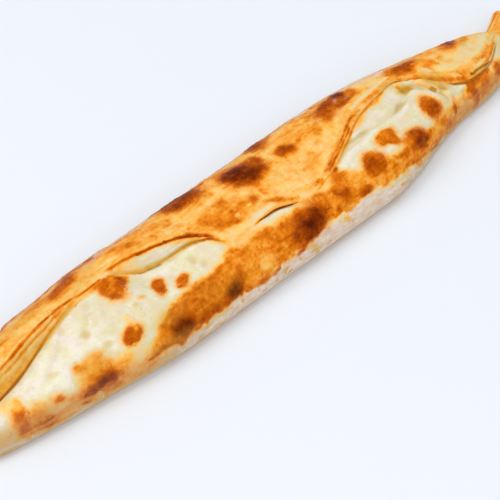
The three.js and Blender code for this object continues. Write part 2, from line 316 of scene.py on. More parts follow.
# Browning runs from 0 (raw) to 1 (charred).
browning = {
    "wander": 0.9,
    "sealBrown": 0.33,
    # along the gap, tan browning that also paints the crease's shade: start, full from, full to, end,
    # browning, reach on the front and on the flap's side
    "gapTansAndShade": [
        (-225, -200, -160, -128, 0.60, 1.9, 2.6), (-160, -150, -125, -112, 0.34, 3.0, 0),
        (-102, -95, -84, -77, 0.22, 4.8, 0), (-100, -92, -62, -54, 0.42, 2.2, 1.2),
        (-64, -54, -43, -36, 0.72, 3.8, 1.6), (-19, -9, 10, 21, 0.72, 1.2, 1.2),
        (44, 58, 118, 132, 0.48, 2.0, 1.6),
    ],
    # x, browning of the skin between the patches
    "frontBase": [
        # near x -170 the browning dips lowest, so the near dome is palest: its pale colour and a painted
        # highlight
        (-260, 0.12), (-225, 0.07), (-205, 0.06), (-188, 0.03), (-170, 0.02), (-150, 0.03), (-130, 0.06),
        (60, 0.05), (130, 0.06), (150, 0.14), (175, 0.18), (200, 0.22), (230, 0.14), (260, 0.30),
    ],
    "flapBase": [
        (-260, 0.39), (-190, 0.37), (-150, 0.37), (-100, 0.375), (-60, 0.38), (-30, 0.38), (20, 0.36),
        (60, 0.385), (100, 0.36), (125, 0.30), (150, 0.37), (180, 0.33), (200, 0.26), (215, 0.24),
        (240, 0.27), (260, 0.32),
    ],
    # the underside: browning, and how strongly it varies from patch to patch
    "under": (0.33, 0.17),
    # the browned band along the front: x, v of its lower and upper border, browning
    "band": [
        (-260, 2, 10, 0.22), (-215, 0, 8, 0.16), (-204, 0, 11, 0.18), (-198, 0, 16, 0.4), (-190, 0, 16, 0.43),
        (-178, -1, 13, 0.37), (-165, -1, 11, 0.34), (-158, -1, 15, 0.39), (-145, -1, 18, 0.43),
        (-131, -1, 14, 0.41), (-122, -1, 10, 0.42), (-111, 2, 16, 0.51), (-104, 4, 22, 0.54),
        (-95, 6, 27, 0.59), (-85, 7, 28.5, 0.60), (-65, 7, 29, 0.60), (-50, 7, 32, 0.57),
        (-42, 5, 35, 0.52), (-30, 5, 37, 0.51),
        (-18, 5, 34, 0.54), (-8, 7, 32, 0.56), (4, 9, 31.5, 0.57), (12, 10, 31.5, 0.57), (20, 11, 35, 0.58),
        (35, 12, 40, 0.57), (47, 12, 40, 0.55), (56, 12, 32, 0.48), (65, 11, 27, 0.48), (80, 9, 24, 0.49),
        (95, 6, 23, 0.49), (105, 4, 19, 0.50), (120, 2, 17, 0.50), (135, 0, 17, 0.49), (148, -1, 15, 0.44),
        (162, -2, 14, 0.41), (171, -2, 15, 0.46), (179, -1, 24, 0.54), (194, 0, 24, 0.52), (203, 2, 12, 0.40),
        (210, 1, 15, 0.52), (222, 2, 12, 0.38), (240, 3, 12, 0.42), (260, 3, 12, 0.40),
    ],
    "front": patches([
        # near end
        (-194.5, 12, 11, 4.4, 92, 0.57, 0.35, 0.5), (-193, 15, 5.5, 3, 80, 0.68), (-195.5, 7, 4, 3, 60, 0.66),
        (-185, 9, 8.5, 5.5, 90, 0.49, 0.3, 0.3), (-183.5, 4.5, 6.5, 3.2, -10, 0.77, 0.3, 0.3),
        (-206, 6, 6, 4, -20, 0.26), (-195, 24, 6, 5, 0, 0.24, 0.2), (-192, 21, 4, 2.4, 70, 0.42, 0.2),
        (-174, 12.5, 8, 4.5, 0, 0.33, 0.2), (-126, 15, 9, 6, 0, 0.20, 0.2),
        (-171.5, 12.8, 3.8, 2.2, -6, 0.60, 0.3, 0.4), (-163, 8, 6, 3, 0, 0.42),
        # near dark blister
        (-147, 15, 12, 9.4, 0, 0.42, 0.3, 0.7), (-154.5, 22, 4, 3.2, 0, 0.49, 0.3, 0.2),
        (-145, 23.5, 6, 3.2, 10, 0.43, 0.3, 0.2), (-131, 13, 6, 3.6, 0, 0.44),
        (-146, 14.5, 9, 4.6, 5, 0.56, 0.3, 0.2), (-149, 8.6, 12.5, 4.6, 10, 0.70, 0.4, 0.3),
        (-154.5, 6.6, 6.5, 2.6, 20, 0.83), (-143.5, 9.6, 6.4, 3, 0, 0.84), (-146, 7.6, 3.4, 1.8, 0, 0.92),
        (-157.5, 4.8, 4, 2.6, 30, 0.76), (-143, 4, 4.6, 3, -30, 0.60), (-151, 2, 2.2, 2.6, 0, 0.20, 0.4),
        # flecks on the pale dome
        (-139, 38, 2.8, 2.3, 60, 0.20, 0.2, 0.3), (-146, 50, 3, 2, 60, 0.14, 0.3, 0.1),
        (-134, 26, 3, 2, 0, 0.18, 0.3, 0.2), (-167, 27, 3, 2, 0, 0.12, 0.3, 0.1),
        (-116, 32, 3, 2, 80, 0.20, 0.2, 0.1), (-117, 34, 2, 1.2, 0, 0.24, 0.2),
        (-101, 40, 2.6, 2.2, 0, 0.36, 0.2, 0.3), (-107, 38, 1.8, 1.4, 0, 0.22, 0.2, 0.2),
        (-60, 43, 2.4, 1.9, 70, 0.12, 0.4, 0.1), (-57.5, 36.5, 2, 1.6, 70, 0.12, 0.4, 0.1),
        (-120, 64, 9, 2.4, 12, 0.38, 0.2),
        # blisters on the pale dome
        (-119.5, 24.5, 8.2, 5.4, 14, 0.63, 0.55, 1.2), (-121, 22.5, 4.4, 3, 0, 0.68),
        # the small pale patch at (-116.5, 26) on the blister is a painted highlight
        (-116.5, 26, 1.5, 1.1, 0, 0.40, 0.3, 0.3), (-86.8, 41.5, 9, 5, 62, 0.67, 0.65, 0.7),
        (-86, 42, 5, 2.4, 60, 0.70), (-74.3, 35, 6.2, 4.6, 40, 0.62, 0.6, 0.6),
        # brown pocket under the flap
        (-107, 56, 12, 7.6, 72, 0.62, 0.55, 0.6), (-104, 64, 15, 4.6, 0, 0.55, 0.45, 0.3),
        (-95.5, 61, 6, 2.4, 60, 0.50), (-101.5, 58, 7, 3.2, 50, 0.72), (-110, 60, 6, 3, 40, 0.67),
        (-108, 51, 5, 2.6, 20, 0.67),
        # dark blisters in the band
        (-91, 14.5, 11, 7.4, 10, 0.70, 0.3, 0.8), (-91.5, 13, 6.4, 4.8, 0, 0.90), (-83, 20, 6, 3.4, 20, 0.63),
        (-105, 8.6, 7, 1.8, -8, 0.70), (-71, 10.4, 10, 3, 0, 0.73, 0.3, 0.3),
        (-52, 13.4, 8, 6, 20, 0.71, 0.3, 0.7), (-53, 12.2, 5, 4.2, 25, 0.92), (-43, 19.5, 5.5, 2.4, 68, 0.60),
        (-70, 24, 12, 4, 0, 0.64, 0.2, 0.3), (-86, 23, 7, 3, 10, 0.60), (-55, 22, 8, 3.4, 20, 0.55),
        (-33, 26, 9, 5, 10, 0.52), (-24, 15, 5, 4, 0, 0.37), (-28.5, 13, 3.4, 2, 0, 0.34),
        (-34, 6.2, 4.4, 1.8, 0, 0.66, 0.4, 0.2), (-22, 5.8, 5, 1.9, 0, 0.66, 0.4, 0.2),
        (-3, 7.2, 3.8, 2, 0, 0.66, 0.4, 0.2), (20, 7.8, 4, 2.4, 10, 0.60, 0.4, 0.3),
        (0, 36, 17, 3.6, -4, 0.05, 0.4),
        # middle blister
        (13, 19, 16, 9.6, 18, 0.69, 0.45, 1.0), (11.5, 17.5, 12.5, 7, 16, 0.83, 0.3, 0.3),
        (10.5, 16.5, 8.4, 4.4, 8, 0.93), (18, 20, 5, 3.4, 60, 0.88), (2, 16, 5, 3.6, -10, 0.76),
        (28, 27, 5, 4, 0, 0.60, 0.3, 0.3), (43.5, 22, 5, 4.4, 0, 0.73, 0.3, 0.5),
        (46, 31, 6, 5, 30, 0.56, 0.3, 0.3), (-15, 29, 6, 3, 0, 0.60, 0.3, 0.2),
        (-6, 24, 7, 4, 0, 0.59, 0.3, 0.2), (56, 15.5, 7, 3, -10, 0.67, 0.4, 0.3),
        (41, 12, 4, 2, -20, 0.55, 0.4, 0.2), (50, 37.5, 2.4, 2, 0, 0.90, 0.5, 0.4),
        # blisters in the valley
        # the wide pale patch at (105, 51) lightens the valley floor, painted light
        (105, 51, 38, 8, 0, 0.04), (92, 55.5, 10, 2.6, 12, 0.34), (111, 57.5, 9, 3.2, -4, 0.50),
        (136, 54, 12, 4, -18, 0.28), (136, 45, 6.5, 3, -24, 0.55, 0.4),
        (73.2, 26, 9.8, 9, 5, 0.65, 0.6, 0.9), (72, 25, 5.6, 5, 0, 0.75, 0.15),
        (93, 34.5, 10.5, 6.2, -6, 0.60, 0.65, 0.7), (95.5, 28.5, 5, 3.6, -60, 0.60, 0.5, 0.2),
        (111, 18.5, 12.6, 7.6, -33, 0.71, 0.6, 0.9), (113.5, 15, 7.4, 4.6, -33, 0.82, 0.2),
        (136.5, 25, 10, 8.2, 96, 0.63, 0.6, 0.8), (139, 20.5, 6.5, 5, 0, 0.72, 0.2),
        (96, 17, 4, 3, 0, 0.58, 0.3, 0.2), (85, 16, 4, 3, 0, 0.58, 0.4, 0.2), (102, 22, 5, 2.5, -40, 0.55),
        # far end
        (151, 31, 2.4, 1.9, 90, 0.90, 0.5, -0.5), (157, 10, 5, 2.2, 86, 0.62, 0.4, 0.3),
        (143, 8, 8, 3, -40, 0.60, 0.3, 0.2), (178, 9, 11, 3.2, 94, 0.64, 0.4, 0.4),
        (186, 16.5, 13, 3.4, 0, 0.64, 0.4, 0.3), (192, 11, 6, 4, 0, 0.58, 0.4, 0.2),
        (203, 16, 3, 3.4, 0, 0.18, 0.4), (207.5, 11, 5, 4.6, 0, 0.65, 0.5, 0.4),
        (219, 17, 7, 2.6, 10, 0.15, 0.4),
    ]),
    "flap": patches([
        # near end
        (-138, 33, 42, 3.4, 0, 0.34, 0.2), (-155, 27, 12, 4, -5, 0.44, 0.3, 0.2), (-110, 24, 8, 5, 0, 0.33),
        (-142, 22, 9, 3.6, -8, 0.52, 0.3, 0.2), (-126, 24, 11.5, 6, -8, 0.64, 0.4, 0.6),
        (-117, 19, 7, 6, 110, 0.70), (-128, 23, 5, 3, -8, 0.70), (-80, 28, 24, 7, 0, 0.45, 0.2),
        (-95, 34, 9, 2.6, 28, 0.22), (-80, 33, 5.5, 4, 30, 0.57, 0.3, 0.2),
        (-53, 35, 3.4, 2.4, 0, 0.55, 0.3, 0.1), (-62, 30, 8, 3, 0, 0.47, 0.3, 0.1),
        (-98, 15, 7, 3, 60, 0.60, 0.3, 0.1), (-72, 21, 7, 3, 40, 0.50, 0.3, 0.1),
        (-87, 27, 4, 2.4, 0, 0.53, 0.3, 0.1),
        # dark shoulders
        (-30, 22, 15, 10, 12, 0.68, 0.35, 0.7), (-28, 19, 10, 8, 25, 0.85, 0.3, 0.3),
        (-38, 24, 7, 6, 30, 0.77), (-37, 13, 7, 6, 20, 0.86), (8, 38, 17.5, 14, 25, 0.66, 0.6, 0.9),
        (5.5, 48, 5, 3.4, 60, 0.64), (9, 37, 14, 10.5, 35, 0.84, 0.35, 0.5), (4, 34, 8, 6, 40, 0.92),
        (12, 42, 8, 3.6, 0, 0.88), (20, 33, 5, 6, 0, 0.73), (35, 18, 11.5, 8, 110, 0.69, 0.35, 0.5),
        (33, 17, 8, 4.8, 115, 0.80), (40, 42, 8.6, 7, 0, 0.63, 0.55, 0.6), (39.5, 40.5, 5.4, 3.6, 10, 0.76),
        # mottles on the top
        (-23, 54, 17, 9, 25, 0.50, 0.25, 0.2), (-34, 52, 7, 3.6, 50, 0.59, 0.35, 0.1),
        (-27, 61, 9, 4.6, 30, 0.60, 0.4, 0.2), (-19, 47, 4, 4.4, 0, 0.60, 0.35, 0.1),
        (-20, 57, 4, 2.4, 50, 0.60, 0.35, 0.1), (-3.6, 57, 3.6, 3.4, 70, 0.64, 0.4, 0.3),
        (5.4, 56, 1.8, 4.4, 0, 0.58, 0.4, 0.2), (-12, 55, 4, 2.6, 0, 0.57, 0.35, 0.2),
        (-19, 59, 1.5, 1.3, 0, 0.22, 0.4, 0.2), (-8.5, 58.5, 1.6, 1.3, 0, 0.22, 0.4, 0.2),
        (24, 54, 16, 7, 0, 0.34, 0.2), (-30, 67, 18, 3.4, 8, 0.27), (-7, 68, 10, 2.6, 0, 0.14),
        (26, 66, 12, 5, 10, 0.30, 0.2), (7, 67, 7, 2.4, 32, 0.62, 0.35, 0.2), (62, 54, 12, 5, -40, 0.31),
        (39, 53, 9, 6, 0, 0.37, 0.2), (65, 44, 4.6, 3.6, 0, 0.52, 0.3, 0.2),
        (57, 52, 3.2, 2.2, 0, 0.48, 0.3, 0.2), (78, 41, 6, 3.4, -30, 0.57, 0.3, 0.2),
        (54, 34, 6, 4, 0, 0.46, 0.2),
        # far dark shoulder
        (89, 32, 19, 8, -13, 0.67, 0.4, 0.6), (88, 28.5, 10, 4.4, -32, 0.80, 0.3, 0.4),
        (103, 23, 7.5, 4.6, -62, 0.92, 0.35), (108.5, 30, 6, 4.6, -60, 0.60, 0.35),
        (98, 37, 7.5, 3.6, 0, 0.72), (124, 32, 8, 10, 0, 0.30), (149, 30, 12, 6.4, -8, 0.64, 0.35, 0.5),
        (156, 27, 9.5, 4.6, -18, 0.76, 0.3, 0.2), (168, 35, 4.6, 3.8, 80, 0.52, 0.3, 0.2),
        (161, 38.5, 4.6, 3.2, 60, 0.13, 0.25, 0.2), (168, 33, 6.5, 3, 75, 0.53, 0.3, 0.2),
        (181, 40, 6, 5, 0, 0.44, 0.3, 0.1), (193, 35, 15, 8, -30, 0.20), (174, 44, 9, 4, 20, 0.20),
        (176, 53, 12, 4, -10, 0.49, 0.3, 0.1), (173, 56.5, 2.4, 1.8, 0, 0.80, 0.4),
        (185, 56, 2.4, 1.4, 0, 0.70, 0.4), (157, 47, 8, 4, 40, 0.48, 0.3, 0.2),
        (197.5, 19, 14, 7, -52, 0.64, 0.35, 0.5), (202, 14.5, 9, 4.6, -52, 0.80),
        (211, 18, 10, 3, -48, 0.48, 0.3, 0.2), (221, 26, 12, 5, -42, 0.15),
        (215, 39, 12, 3, -38, 0.50, 0.3, 0.2),
    ]),
    # x, browning of the flap's edge, and of the cut face under it
    "edgeBrown": [
        (-260, 0.55), (-190, 0.58), (-108, 0.60), (-98, 0.48), (-88, 0.62), (-45, 0.72), (-38, 0.45),
        (-30, 0.32), (20, 0.32), (43, 0.40), (52, 0.44), (75, 0.34), (105, 0.38), (131, 0.44), (160, 0.50),
        (200, 0.55), (214, 0.62), (225, 0.58), (260, 0.5),
    ],
    "faceBrown": [
        (-260, 0.40), (-190, 0.42), (-150, 0.37), (-125, 0.38), (-108, 0.44), (-98, 0.36), (-88, 0.24),
        (-80, 0.06), (-62, 0.03), (-50, 0.12), (-44, 0.42), (-20, 0.36), (-10, 0.42), (15, 0.40), (42, 0.50),
        (60, 0.46), (100, 0.36), (125, 0.30), (150, 0.42), (165, 0.46), (185, 0.45), (200, 0.25), (215, 0.20),
        (240, 0.40), (260, 0.4),
    ],
}

# Olive and butter-yellow stains on the skin; along the gap, in the valley's creases and on the cut face under
# the flap they are painted shade.
stainsAndShade = {
    "gap": [
        (-260, 0.5), (-190, 0.8), (-150, 0.75), (-112, 0.6), (-98, 0.5), (-86, 0.7), (-70, 0.85), (-58, 1),
        (-45, 0.9), (-38, 0.2), (-16, 0.3), (20, 0.3), (45, 0.6), (60, 0.1), (120, 0.2), (138, 1), (165, 1),
        (180, 0.6), (260, 0.5),
    ],
    "front": patches([
        # the rows at x -180 (along the gap) and at x 81 and 120 (the valley's creases) are painted shade
        (105, 48, 34, 8, 0, 0.07), (136, 45.5, 7, 3.6, -24, 1.15, 0.4), (143, 40, 5, 3, -50, 0.5, 0.4),
        (155, 38, 7, 4, -60, 0.8, 0.4), (120, 41, 8, 1.7, -8, 0.85, 0.4), (81, 47.2, 10, 1.6, -2, 0.72, 0.4),
        (112, 51, 5, 2.6, 20, 0.25), (157, 28, 6, 3, 30, 0.75, 0.4), (-66, 55, 10, 3, -10, 0.6, 0.4),
        (-60, 43, 3, 2.2, 70, 0.40, 0.4), (-57.5, 36.5, 2.6, 2, 70, 0.34, 0.4), (-180, 36, 18, 2.6, 27, 0.60),
        (-139, 38.5, 4, 2.6, 80, 0.46, 0.4), (-127, 55, 6, 2, 60, 0.26), (-146, 50, 5, 2.4, 60, 0.30),
        (-134, 26, 3, 2.4, 0, 0.28, 0.4), (-169, 28, 6, 2.2, 40, 0.30), (-163, 34, 8, 1.5, 30, 0.22),
        (-124, 44, 4, 2, 50, 0.26), (-107, 38, 2.4, 1.8, 0, 0.28), (-153, 43, 7, 1.4, 40, 0.20),
        (-132, 49, 7, 1.6, 55, 0.20), (-128, 33, 6, 3, 20, 0.16, 0.2), (152, 24, 6, 3, 80, 0.35),
        (160, 27, 5, 4, -40, 0.7, 0.4), (151, 31, 2.2, 3, 0, 1.0, 0.4), (-185, 9, 6, 5, 60, 0.20, 0.2),
        (-113, 12, 10, 5, 0, 0.16, 0.2), (-148, 20, 11, 7, 0, 0.28, 0.2), (-94, 22, 15, 5, 10, 0.30, 0.2),
        (-60, 18, 20, 7, 0, 0.22, 0.2), (-100, 9, 15, 4, 0, 0.28, 0.2),
    ]),
    "flap": patches([
        (-162, 27, 16, 6, 0, 0.22), (-118, 33, 16, 4, 0, 0.22), (-108, 26, 8, 4, 0, 0.2),
        (130, 41, 8, 2, -12, 0.4, 0.4), (160, 48, 9, 4, 40, 0.45, 0.4), (206, 23, 8, 2.4, -48, 0.4, 0.4),
        (192, 53, 10, 1.6, -24, 0.7, 0.4),
    ]),
    # x, painted shade and stain on the cut face under the flap
    "face": [
        (-260, 0.3), (-195, 0.46), (-165, 0.36), (-145, 0.12), (-130, 0), (-95, 0), (-80, 0.1), (-60, 0.12),
        (-45, 0), (42, 0), (110, 0), (130, 0.12), (160, 0.3), (175, 0), (260, 0),
    ],
}


def patchDistance(row, wanderX, wanderV):
    x, v, length, width, tilt = row[:5]
    c, s = math.cos(math.radians(tilt)), math.sin(math.radians(tilt))
    dx, dv = skinX + wanderX - x, skinV + wanderV - v
    return np.hypot((dx * c + dv * s) / length, (dv * c - dx * s) / width)


def patchWeight(side, row, wanderX, wanderV, reach=None):
    distance, crisp = patchDistance(row, wanderX, wanderV), row[6]
    own = isFlap if side == "flap" else ~isFlap
    if reach:
        return np.where(own & (distance < reach), (1 - np.minimum(distance / reach, 1) ** 2) ** 2, 0)
    return np.where(own, 1 - ease(0.2 + crisp ** 2, 1.7 - 0.8 * crisp ** 2, distance), 0)


def layOver(below, level, weight):  # spots are kept apart from the base: level times cover, and cover
    weight = np.clip(weight, 0, 1)
    return below[0] * (1 - weight) + level * weight, below[1] * (1 - weight) + weight


def bandCover():
    lower, upper = along(browning["band"], skinX, 1), along(browning["band"], skinX, 2)
    ragged = 1.8 * layered(points, 8, 43) + 0.8 * dapple(points, 2.5, 46)
    inside = ease(-1.8, 1.8, skinV - lower + 2.2 * ragged)
    inside = inside * (1 - ease(-4.2, 3.4, skinV - upper + 1.3 * ragged))
    return np.where(isFlap, 0, inside)


inBand = bandCover()
# the underside, the same on both sides of its middle line, also where the ends are narrow
underReach = np.minimum(9, -0.9 * np.maximum(skinV[:, :1], skinV[:, -1:]))
under = 1 - ease(-underReach, -underReach / 9, skinV)
onFace = isFlap & (lipDistance < 0)  # the cut face under the flap


def brownBetween(leopard):  # the skin between the patches
    base = np.where(isFlap, along(browning["flapBase"], skinX), along(browning["frontBase"], skinX))
    flapChange = 0.08 * streaks(26, 4, 31) + 0.10 * layered(points, 9, 35)
    frontChange = 0.07 * layered(points, 12, 36) + 0.04 * leopard
    base = base + np.where(isFlap, flapChange, frontChange)
    base = base + np.where(isFlap, 0.12 * fleckMask(6, 49) - 0.07 * fleckMask(4.5, 52), 0)
    rim = np.where(isFlap, 1 - ease(13, 28, skinV), 0)
    base = base + rim * (0.06 + 0.28 * streaks(13, 2.4, 33))
    bandLevel = along(browning["band"], skinX, 3) + 0.07 * leopard + 0.03 * streaks(12, 5, 47)
    bandLevel = bandLevel + 0.08 * fleckMask(5, 53) - 0.09 * fleckMask(4, 54)
    base = base + (bandLevel - base) * inBand
    low = np.where(isFlap, 0, (1 - ease(7, 15, skinV)) * (1 - 0.8 * inBand))
    base = base + low * (0.24 * fleckMask(4.2, 48) + 0.30 * streaks(14, 2.2, 34))
    level, change = browning["under"]
    below = level + change * layered(points, 16, 37) + 0.6 * change * layered(points, 6, 38)
    base = base + (below - base) * under
    sealed = (1 - ease(0.5, 1.4, size["drop"]))[:, None] * ease(-50, -42, skinX) * (1 - ease(40, 46, skinX))
    sealed = np.where(isFlap, 0, sealed * (1 - ease(2.5, 7, gapDistance)))
    return base + (browning["sealBrown"] - base) * sealed


def brownCrust():
    wander = browning["wander"]
    wanderX = wander * (dapple(points, 7, 11) + 0.6 * dapple(points, 2.8, 12))
    wanderV = wander * (dapple(points, 7, 21) + 0.6 * dapple(points, 2.8, 22))
    leopard = layered(points, 5.5, 41)
    base = brownBetween(leopard)
    spots = (np.zeros_like(base), np.zeros_like(base))
    for side in ("front", "flap"):
        for row in browning[side]:
            level = row[5] + 0.03 * leopard
            if row[6] > 0.5:  # a blister with a clear outline has a golden fringe
                level = level - 0.5 * (row[5] - 0.36) * ease(0.6, 1.2, patchDistance(row, wanderX, wanderV))
            spots = layOver(spots, level, patchWeight(side, row, wanderX, wanderV))
    faceLevel = along(browning["faceBrown"], skinX) + 0.06 * streaks(12, 1.6, 51)
    spots = layOver(spots, faceLevel, np.where(onFace, ease(0.2, 1.5, -lipDistance), 0))
    for row in browning["gapTansAndShade"]:
        reach = np.where(isFlap, row[6], row[5]) + 0.01
        spots = layOver(spots, row[4], (1 - ease(0.2, 1, gapDistance / reach)) * openness(row, skinX))
    edgeWidth = 1.5 + 0.4 * dapple(points, 9, 61)
    edgeWeight = 1 - ease(0.2, 1, np.abs(lipDistance - 0.3) / edgeWidth)
    edgeWeight = edgeWeight * (0.7 + 0.3 * streaks(14, 2, 62)) * ease(0.5, 1.6, size["drop"])[:, None]
    level, cover = layOver(spots, along(browning["edgeBrown"], skinX), edgeWeight)
    return base, (level * (1 - under), cover * (1 - under))


def stainAndShadeSkin():
    wanderX, wanderV = dapple(points, 6, 13), dapple(points, 6, 14)
    # painted shade in the gap's crease, tinted olive
    stain = (1 - ease(0.5, 3, gapDistance)) * along(stainsAndShade["gap"], skinX)
    stain = stain * ease(0.6, 2, size["drop"])[:, None]
    for side in ("front", "flap"):
        for row in stainsAndShade[side]:
            stain = np.maximum(stain, row[5] * patchWeight(side, row, wanderX, wanderV))
    stain = np.maximum(stain, np.where(onFace, ease(0.3, 2, -lipDistance), 0) * along(stainsAndShade["face"], skinX))
    return (stain * (0.85 + 0.25 * layered(points, 4, 15)) + 0.10 * fleckMask(5.5, 17)) * (1 - under)


# Flour keeps the low sides pale: by x, the v up to which it lies and how thick it is.
flourBand = {
    "front": [
        (-260, 2, 0.3), (-205, 3, 0.3), (-190, 3, 0.4), (-158, 4, 0.42), (-125, 8, 0.42), (-108, 8, 0.46),
        (-95, 7, 0.62), (-60, 7, 0.85), (-20, 7, 1), (0, 9, 1), (20, 11, 1), (60, 12.5, 1), (85, 8, 1),
        (105, 4, 0.8), (120, 2, 0.6), (140, 2, 0.5), (160, 4, 0.4), (172, 3, 0.4), (200, 4, 0.4),
        (260, 4, 0.5),
    ],
    "flap": [
        (-260, 12, 0.4), (-200, 15, 0.4), (-150, 20, 0.52), (-128, 18, 0.42), (-110, 21, 0.50),
        (-90, 25, 0.58), (-60, 25, 0.58), (-38, 16, 0.32), (-20, 16, 0.34), (2, 20, 0.48),
        (18, 20, 0.48), (32, 11, 0.24), (44, 15, 0.4), (56, 21, 0.64), (80, 22, 0.68), (92, 20, 0.58),
        (104, 21, 0.62), (116, 27, 0.86),
        (134, 27, 0.86), (150, 21, 0.78), (166, 22, 0.64), (178, 18, 0.3), (190, 10, 0.1), (212, 10, 0.1),
        (225, 12, 0.25), (260, 8, 0.4),
    ],
    "under": 0.42,
    # dusty smears higher up
    "smears": {
        "front": patches([(-178, 38, 8, 3, 30, 0.25)]),
        "flap": patches([
            (96, 29, 9, 2.4, -60, 0.52, 0.2), (101, 34, 5, 2.8, -66, 0.44, 0.2), (10, 31, 11, 5.4, 20, 0.40),
            (-26, 17, 12, 4, 40, 0.36), (93, 36, 6, 1.2, -50, 0.35, 0.4), (124, 35, 9, 5, -20, 0.5),
            (155, 23, 9, 2.4, -20, 0.5), (20, 33, 6, 1.6, 60, 0.32),
        ]),
    },
    "softness": 4.0,
}


def flourMask():
    limit, thick = (
        np.where(isFlap, along(flourBand["flap"], skinX, column), along(flourBand["front"], skinX, column))
        for column in (1, 2)
    )
    limit = limit + 3.2 * layered(points, 9, 71) + 2.0 * streaks(16, 2.5, 75)
    thick = thick * np.clip(0.9 + np.where(isFlap, 0.8, 0.3) * streaks(11, 1.9, 79), 0.15, 1.2)
    thick = thick * (1 - np.where(isFlap, 0, 0.7 * fleckMask(4.2, 48) + 0.3 * fleckMask(9, 73)))
    soft = flourBand["softness"]
    flour = thick * (1 - ease(-soft, soft, skinV - limit)) * (1 - 0.7 * inBand)
    dusty = flourBand["under"] + 0.4 * layered(points, 13, 74) + 0.25 * layered(points, 5, 76)
    flour = flour + (np.clip(dusty, 0, 1) - flour) * under
    wanderX, wanderV = 0.8 * dapple(points, 4, 77), 0.8 * dapple(points, 4, 78)
    for side, rows in flourBand["smears"].items():
        for row in rows:
            flour = np.maximum(flour, row[5] * patchWeight(side, row, wanderX, wanderV))
    return flour


